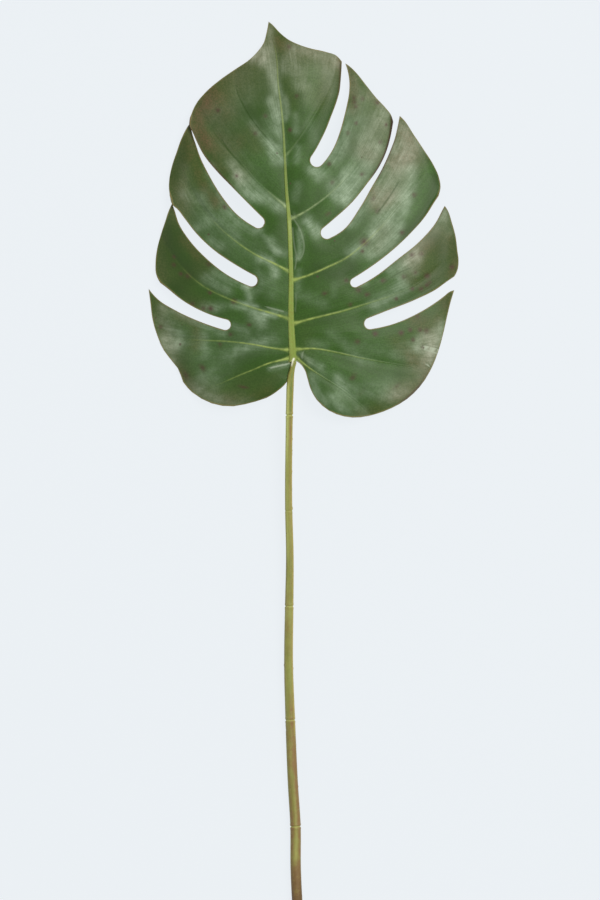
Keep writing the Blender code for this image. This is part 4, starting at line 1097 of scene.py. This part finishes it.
class Skin:
    """A material, and what its colour and relief are worked out from."""

    def __init__(self, name, roughness, gloss=0.5):
        """A new material, as rough and glossy as this."""
        self.material = bpy.data.materials.new(name)
        self.material.use_nodes = True
        self.tree = self.material.node_tree
        self.shader = self.tree.nodes["Principled BSDF"].inputs
        feed(self.shader["Roughness"], roughness)
        feed(self.shader["Specular IOR Level"], gloss)

    def kept(self, *names):
        """The numbers kept in the mesh under these names, point by point."""
        return [add(self.tree, "Attribute", attribute_name=name)["Fac"] for name in names]

    def place(self):
        """The place in the object."""
        return add(self.tree, "TexCoord")["Object"]

    def lay(self):
        """Across and along the side veins, in millimetres, from the blade's own map."""
        return add(self.tree, "UVMap", uv_map="lay")

    def group(self, make, **values):
        """Places a node group with its own values. The group is built when it is first needed."""
        return add(self.tree, "Group", values, node_tree=bpy.data.node_groups.get(make.__name__) or make())

    def finish(self, colour, relief=None, strength=0.3):
        """Gives the shader its colour and fine relief."""
        feed(self.shader["Base Color"], colour)
        if relief:
            given = {"Strength": strength, "Distance": RELIEF, "Height": relief}
            feed(self.shader["Normal"], add(self.tree, "Bump", given))
        return self.material


def blade_front_material(colours):
    """The upper face: green with darker and browner parts, painted sheen, painted shade and painted fold
    lines, streaked along its side veins, with yellow-green veins, a brown edge and reddish freckles."""
    skin = Skin("blade_front", 0.4, 0.2)
    place = skin.place()
    olive, brown, fresh, painted_sheen_strokes, shade = skin.kept("olive", "brown", "fresh", "painted_sheen_strokes", "shade")
    vein, rib, glint, freckle, dark_edge = skin.kept("vein", "rib", "glint", "freckle", "dark_edge")
    edge, fold, beside = skin.kept("edge", "fold", "fold_side")
    streaks = skin.group(fine_streaks, Place=skin.lay(), Spacing=1.1, Stretch=26.0)
    lines = skin.group(fine_streaks, Place=skin.lay(), Spacing=2.3, Stretch=9.0)
    spots = skin.group(scattered_spots, Spacing=0.011, Radius=0.11, Share=0.3)
    mottle = place.noise(800.0, 2.0, 0.7).step(0.35, 0.65, 0.0, 0.42)
    patchy = (streaks * 0.32 + 0.64) * (lines * 0.22 + 0.89)
    # Painted sheen: a paler layer, warmer over olive and brown parts, standing in for the highlight of the
    # lights.
    haze = painted_sheen_strokes * patchy * place.noise(170.0, 4.0, 0.65).step(0.3, 0.65, 0.7, 1.2) * 0.5
    warm = (brown * 0.5 + olive).mix(colours.haze, colours.haze_warm)
    # Painted highlight on the crest of each fold, and painted shade in the trough beside it.
    crest = abs(beside).step(0.15, 1.1, 1.0, 0.0)
    trough = abs(beside - 1.5).step(0.1, 1.0, 0.6, 0.0)
    lit, dim = fold.most(0.0), (fold * -1.0).most(0.0)
    vein = vein * place.noise(240.0).step(0.3, 0.7, 0.6, 1.3)
    high = add(skin.tree, "SeparateXYZ", [place])["Y"].step(0.165, 0.215)
    rough_rib = place.noise(420.0, 3.0, 0.7).step(0.4, 0.7, 0.0, 0.55)
    green = layered(
        colours.blade,
        (place.noise(22.0, 3.0).step(0.35, 0.65), colours.blade_dark),
        (place.noise(9.0).step(0.4, 0.7, 0.0, 0.35), colours.blade_bright),
        (streaks["Bands"] * 0.25, colours.blade_dark),
        (streaks * 0.22, colours.blade_deep),
        (olive * place.noise(16.0, 3.0).step(0.3, 0.7, 0.55, 1.0), colours.blade_olive),
        (fresh * 0.7, colours.blade_bright),
        (brown * place.noise(60.0, 3.0).step(0.3, 0.7, 0.3, 0.8), colours.blade_brown),
        (mottle, colours.blade_deep),
        # Painted sheen.
        (haze, warm),
        # Painted shade.
        (shade * 0.5, colours.blade_deep),
        (mottle * 0.4, colours.blade_deep),
        ((freckle * 0.9).most(spots * 0.6), colours.freckle),
        (edge.step(0.1, place.noise(90.0) * 1.6 + 0.2, 0.75, 0.0), colours.rim),
        (dark_edge * edge.step(0.2, 2.2, 1.0, 0.0), colours.rim_dark),
        # Painted highlight and painted shade along the folds.
        (lit * crest * 0.75, colours.haze_bright),
        ((lit * trough + dim * crest) * 0.8, colours.blade_deep),
        # Painted shade where a vein's tone is below nought: a dark crease.
        ((vein * -1.0).most(0.0), colours.blade_deep),
        (vein.most(0.0), high.mix(colours.vein, colours.vein_pale)),
        (rib, layered(colours.rib, (streaks["Bands"], colours.rib_pale), (rough_rib, colours.stalk_olive))),
        (glint, colours.glint))
    feed(skin.shader["Roughness"], haze * 0.1 + 0.42 + streaks * 0.04)
    return skin.finish(green, streaks * 0.3 + skin.group(skin_grain, Size=0.0035))


def blade_back_material(colours):
    """The underside: paler and duller, with its raised veins paler still."""
    skin = Skin("blade_back", 0.55)
    vein, rib = skin.kept("vein", "rib")
    streaks = skin.group(fine_streaks, Place=skin.lay(), Spacing=1.1, Stretch=26.0)
    spots = skin.group(scattered_spots, Spacing=0.014, Radius=0.1, Share=0.25)
    green = layered(
        colours.back,
        (skin.place().noise(22.0, 3.0).step(0.35, 0.65), colours.back_dark),
        (streaks * 0.2, colours.back_dark),
        (spots * 0.4, colours.freckle),
        (abs(vein).most(rib), colours.rib_pale))
    return skin.finish(green, streaks * 0.5 + skin.group(skin_grain, Size=0.003), 0.4)


def blade_rim_material(colours):
    """The cut edge of the blade: yellow-olive, browner in places."""
    skin = Skin("blade_rim", 0.5)
    patches = skin.place().noise(45.0).step(0.4, 0.62)
    layers = (patches, colours.rim_brown), (skin.kept("dark_edge")[0], colours.rim_dark)
    return skin.finish(layered(colours.rim, *layers))


def stalk_material(colours):
    """The stalk: olive-yellow, with pale, brown, green and golden stripes that come and go down its length,
    fine streaks, and paler ring joints. The pale stripe on the left flank and the golden edges are partly
    painted light."""
    skin = Skin("stalk_skin", 0.45, 0.3)
    place = skin.place()
    side, up, down, joint, glint = skin.kept("side", "up", "down", "joint", "glint")
    pale, green, brown, gold = skin.kept("pale", "green", "brown", "gold")
    lay = add(skin.tree, "CombineXYZ", (side * 4.0, down, up * 4.0))
    streaks = skin.group(fine_streaks, Place=lay, Spacing=0.9, Stretch=12.0)
    flecks = skin.group(scattered_spots, Spacing=0.0035, Radius=0.16, Share=0.3)
    patchy = place.noise(260.0, 3.0, 0.6).step(0.35, 0.65, 0.45, 1.1)
    worn = place.noise(120.0, 4.0, 0.7).step(0.3, 0.7, 0.35, 1.3)
    colour = layered(
        colours.stalk,
        (streaks, colours.stalk_olive),
        # Pale stripes and golden edges: partly painted light on the flanks.
        (pale * (streaks["Bands"] * -0.35 + 1.0), colours.stalk_pale),
        (green * patchy, colours.stalk_green),
        (brown * worn, colours.stalk_brown),
        (gold * patchy, colours.stalk_gold),
        (down.step(392.0, 424.0, 0.0, 0.9) * worn, colours.stalk_deep),
        (flecks * 0.55, colours.stalk_deep),
        (joint * 0.6, colours.stalk_pale),
        (glint, colours.glint))
    return skin.finish(colour, streaks * 0.7 + skin.group(skin_grain, Size=0.002))


def stalk_cut_material(colours):
    """The cut end: a dry brown edge round pale pith with darker strands."""
    skin = Skin("stalk_cut", 0.7)
    strands = skin.group(scattered_spots, Spacing=0.0011, Radius=0.35, Share=0.6)
    rind = skin.kept("pith")[0].step(0.75, 0.95)
    layers = (strands * 0.6, colours.stalk_brown), (rind, colours.stalk_brown)
    return skin.finish(layered(colours.pith, *layers))


def add_object(name, data):
    """Puts an object with this data in the scene."""
    made = bpy.data.objects.new(name, data)
    bpy.context.scene.collection.objects.link(made)
    return made


def add_piece(name, mesh, node, materials):
    """Shows a finished mesh in place of its solid."""
    for material in materials:
        mesh.materials.append(material)
    piece = add_object(name, mesh)
    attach(piece, "root")
    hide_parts(node)


def tint(name, description, *default):
    """A colour that a user can change."""
    kept = {"name": name, "description": description, "default": default}
    return FloatVectorProperty(**kept, subtype="COLOR", min=0, max=1)


def number(name, description, default, low=0.0, **limits):
    """A number that a user can change, not under the lowest."""
    return FloatProperty(name=name, description=description, default=default, min=low, **limits)


class LeafSizes(PropertyGroup):
    """Sizes of the fine relief."""

    blade: number("Blade", "Thickness of the blade between its veins", 0.0007, 0.0006, unit="LENGTH")
    vein_rise: number("Vein rise", "Height of a side vein above the blade", 0.00035, unit="LENGTH")
    rib_rise: number("Midrib crown", "Height of the midrib by its half width", 0.45, max=1, subtype="FACTOR")
    rim_bulge: number("Rim bulge", "How far the blade's edge stands out in its middle", 0.0001, unit="LENGTH")


class LeafColours(PropertyGroup):
    """Colours of the blade and the stalk."""

    blade: tint("Blade", "Most of the upper face", 0.048, 0.119, 0.017)
    blade_dark: tint("Blade, darker", "Darker clouds in it", 0.035, 0.088, 0.013)
    blade_bright: tint("Blade, livelier", "Livelier parts of it", 0.060, 0.150, 0.026)
    # Also the colour of painted shade: the shade strokes, the dark side of folds and dark creases.
    blade_deep: tint("Blade, deep", "Where it turns away or folds", 0.027, 0.064, 0.010)
    blade_brown: tint("Blade, brown", "Brown-olive parts near its margin", 0.152, 0.102, 0.048)
    blade_olive: tint("Blade, olive", "Duller green away from its middle", 0.086, 0.108, 0.036)
    # The colours of the painted sheen, a painted highlight, warmer over olive and brown parts.
    haze: tint("Haze", "Pale bloom on its skin", 0.325, 0.430, 0.295)
    haze_warm: tint("Haze, warmer", "The same over its olive and brown parts", 0.372, 0.398, 0.296)
    # The colour of the painted highlight on sharp folds.
    haze_bright: tint("Haze, bright", "Light on sharp folds", 0.420, 0.490, 0.370)
    freckle: tint("Freckles", "Small reddish spots", 0.073, 0.034, 0.028)
    vein: tint("Side veins", "Side veins near the base", 0.310, 0.400, 0.105)
    vein_pale: tint("Side veins, pale", "Side veins near the tip", 0.300, 0.390, 0.200)
    rib: tint("Midrib", "Most of the midrib", 0.235, 0.325, 0.065)
    rib_pale: tint("Midrib, paler", "Paler parts of the midrib", 0.290, 0.375, 0.100)
    glint: tint("Glint", "Light in the joint at the base of the blade", 0.860, 0.870, 0.720)
    rim: tint("Rim", "The blade's edge", 0.223, 0.188, 0.070)
    rim_brown: tint("Rim, browner", "Brown parts of the edge", 0.150, 0.090, 0.045)
    # The colour of the darker parts of the edges.
    rim_dark: tint("Rim, scorched", "Dark parts of the edge", 0.060, 0.036, 0.022)
    back: tint("Back", "The underside", 0.135, 0.215, 0.080)
    back_dark: tint("Back, darker", "Darker parts of the underside", 0.100, 0.170, 0.060)
    stalk: tint("Stalk", "Most of the stalk", 0.300, 0.300, 0.070)
    stalk_green: tint("Stalk, greener", "Green stripes", 0.165, 0.215, 0.045)
    # Made paler partly as painted light on the stalk's left flank.
    stalk_pale: tint("Stalk, pale", "Pale stripes", 0.500, 0.530, 0.170)
    stalk_olive: tint("Stalk, dull", "Dull streaks", 0.240, 0.245, 0.056)
    stalk_gold: tint("Stalk, golden", "Golden edges", 0.420, 0.330, 0.100)
    stalk_brown: tint("Stalk, brown", "Brown stripes", 0.255, 0.158, 0.058)
    stalk_deep: tint("Stalk, deep", "The darkest brown", 0.150, 0.090, 0.032)
    pith: tint("Pith", "Inside the cut end", 0.480, 0.470, 0.250)


class LeafStage(PropertyGroup):
    """The studio."""

    height: number("Camera height", "Height of the camera above the floor", 4.0, 1.0, unit="LENGTH")
    background: tint("Background", "Colour of the floor and the surroundings", 0.830, 0.871, 0.905)
    key: number("Key light", "Power of the large light at the upper right", 84.0, unit="POWER")
    warmth: tint("Light colour", "Colour of both lights", 1.0, 0.965, 0.90)
    fill: number("Fill light", "Power of the weak light at the left", 14.0, unit="POWER")
    surround: number("Surroundings", "Strength of the light from all round", 0.3)


class LEAF_OT_set_stage(Operator):
    """Sets the floor, the soft lights and the camera straight above"""

    bl_idname = "leaf.set_stage"
    bl_label = "Set Stage"

    def execute(self, context):
        """A floor that is partly its own light, so that its shadows stay faint, and two large square
        lights."""
        scene, stage = context.scene, context.scene.leaf_stage
        scene.view_settings.view_transform = "Standard"
        scene.world = bpy.data.worlds.new("pale_surroundings")
        scene.world.use_nodes = True
        surround = scene.world.node_tree.nodes["Background"].inputs
        feed(surround["Color"], stage.background)
        seen = add(scene.world.node_tree, "LightPath")["Is Camera Ray"]
        feed(surround["Strength"], seen.most(stage.surround))
        corners = np.array([(-1, -1, 0), (1, -1, 0), (1, 1, 0), (-1, 1, 0)]) * FLOOR_HALF + (0, 0, FLOOR_DROP)
        floor = add_object("pale_floor", new_mesh("pale_floor", corners, np.arange(4)[None, :], {}))
        paper = Skin("floor_paper", 0.9, 0.0)
        feed(paper.shader["Emission Color"], stage.background)
        feed(paper.shader["Emission Strength"], FLOOR_GLOW)
        floor.data.materials.append(paper.finish([FLOOR_SHARE * part for part in stage.background]))
        for name, power, size, place in (("key_light", stage.key, KEY_SIZE, KEY_PLACE),
                                         ("fill_light", stage.fill, FILL_SIZE, FILL_PLACE)):
            light = bpy.data.lights.new(name, "AREA")
            light.energy = power
            light.size = size
            light.color = stage.warmth
            lamp = add_object(name, light)
            lamp.location = place
            lamp.rotation_euler = Vector(place).to_track_quat("Z", "Y").to_euler()
        camera = bpy.data.cameras.new("above")
        camera.sensor_width = SENSOR * 1000
        camera.lens = 1000 * SENSOR * (stage.height - SEEN_HEIGHT) / SEEN_LONG
        camera.clip_end = SEEN_FAR
        scene.camera = add_object("above", camera)
        scene.camera.location = (*SEEN_CENTRE, stage.height)
        return {"FINISHED"}


class LEAF_OT_dress_blade(Operator):
    """Replaces the blade's solid with a finer one, with its veins, folds, painted sheen and freckles"""

    bl_idname = "leaf.dress_blade"
    bl_label = "Dress Blade"

    def execute(self, context):
        """The blade's shell with its front, back and rim materials."""
        colours = context.scene.leaf_colours
        materials = [blade_front_material(colours), blade_back_material(colours), blade_rim_material(colours)]
        add_piece("leaf_blade_skin", blade_mesh(context.scene.leaf_sizes), "leaf_blade", materials)
        return {"FINISHED"}


class LEAF_OT_dress_stalk(Operator):
    """Replaces the stalk's solid with a finer one, with its ring joints and streaks"""

    bl_idname = "leaf.dress_stalk"
    bl_label = "Dress Stalk"

    def execute(self, context):
        """The stalk's tube with its skin and its cut end."""
        colours = context.scene.leaf_colours
        materials = [stalk_material(colours), stalk_cut_material(colours)]
        add_piece("leaf_stalk_skin", stalk_mesh(), "leaf_stalk", materials)
        return {"FINISHED"}


class LEAF_PT_dressing(Panel):
    """Lists the leaf's pieces and settings"""

    bl_idname = "LEAF_PT_dressing"
    bl_label = "Monstera Leaf"
    bl_space_type = "VIEW_3D"
    bl_region_type = "UI"
    bl_category = "Leaf"

    def draw(self, context):
        """The three operators, and every setting under them."""
        for operator in OPERATORS:
            self.layout.operator(operator.bl_idname)
        for title, group in SETTINGS.items():
            box = self.layout.box()
            box.label(text=group.__doc__)
            for name in group.__annotations__:
                box.prop(getattr(context.scene, title), name)


OPERATORS = (LEAF_OT_set_stage, LEAF_OT_dress_blade, LEAF_OT_dress_stalk)
SETTINGS = {"leaf_sizes": LeafSizes, "leaf_colours": LeafColours, "leaf_stage": LeafStage}


def register():
    """Makes the settings, operators and panel known."""
    for kind in (*SETTINGS.values(), *OPERATORS, LEAF_PT_dressing):
        bpy.utils.register_class(kind)
    for name, kind in SETTINGS.items():
        setattr(bpy.types.Scene, name, PointerProperty(type=kind))


def unregister():
    """Takes them away again."""
    for name in SETTINGS:
        delattr(bpy.types.Scene, name)
    for kind in (LEAF_PT_dressing, *OPERATORS[::-1], *list(SETTINGS.values())[::-1]):
        bpy.utils.unregister_class(kind)


def main():
    """Sets the stage and dresses both solids."""
    register()
    bpy.ops.leaf.set_stage()
    bpy.ops.leaf.dress_blade()
    bpy.ops.leaf.dress_stalk()


if __name__ == "__main__":
    main()
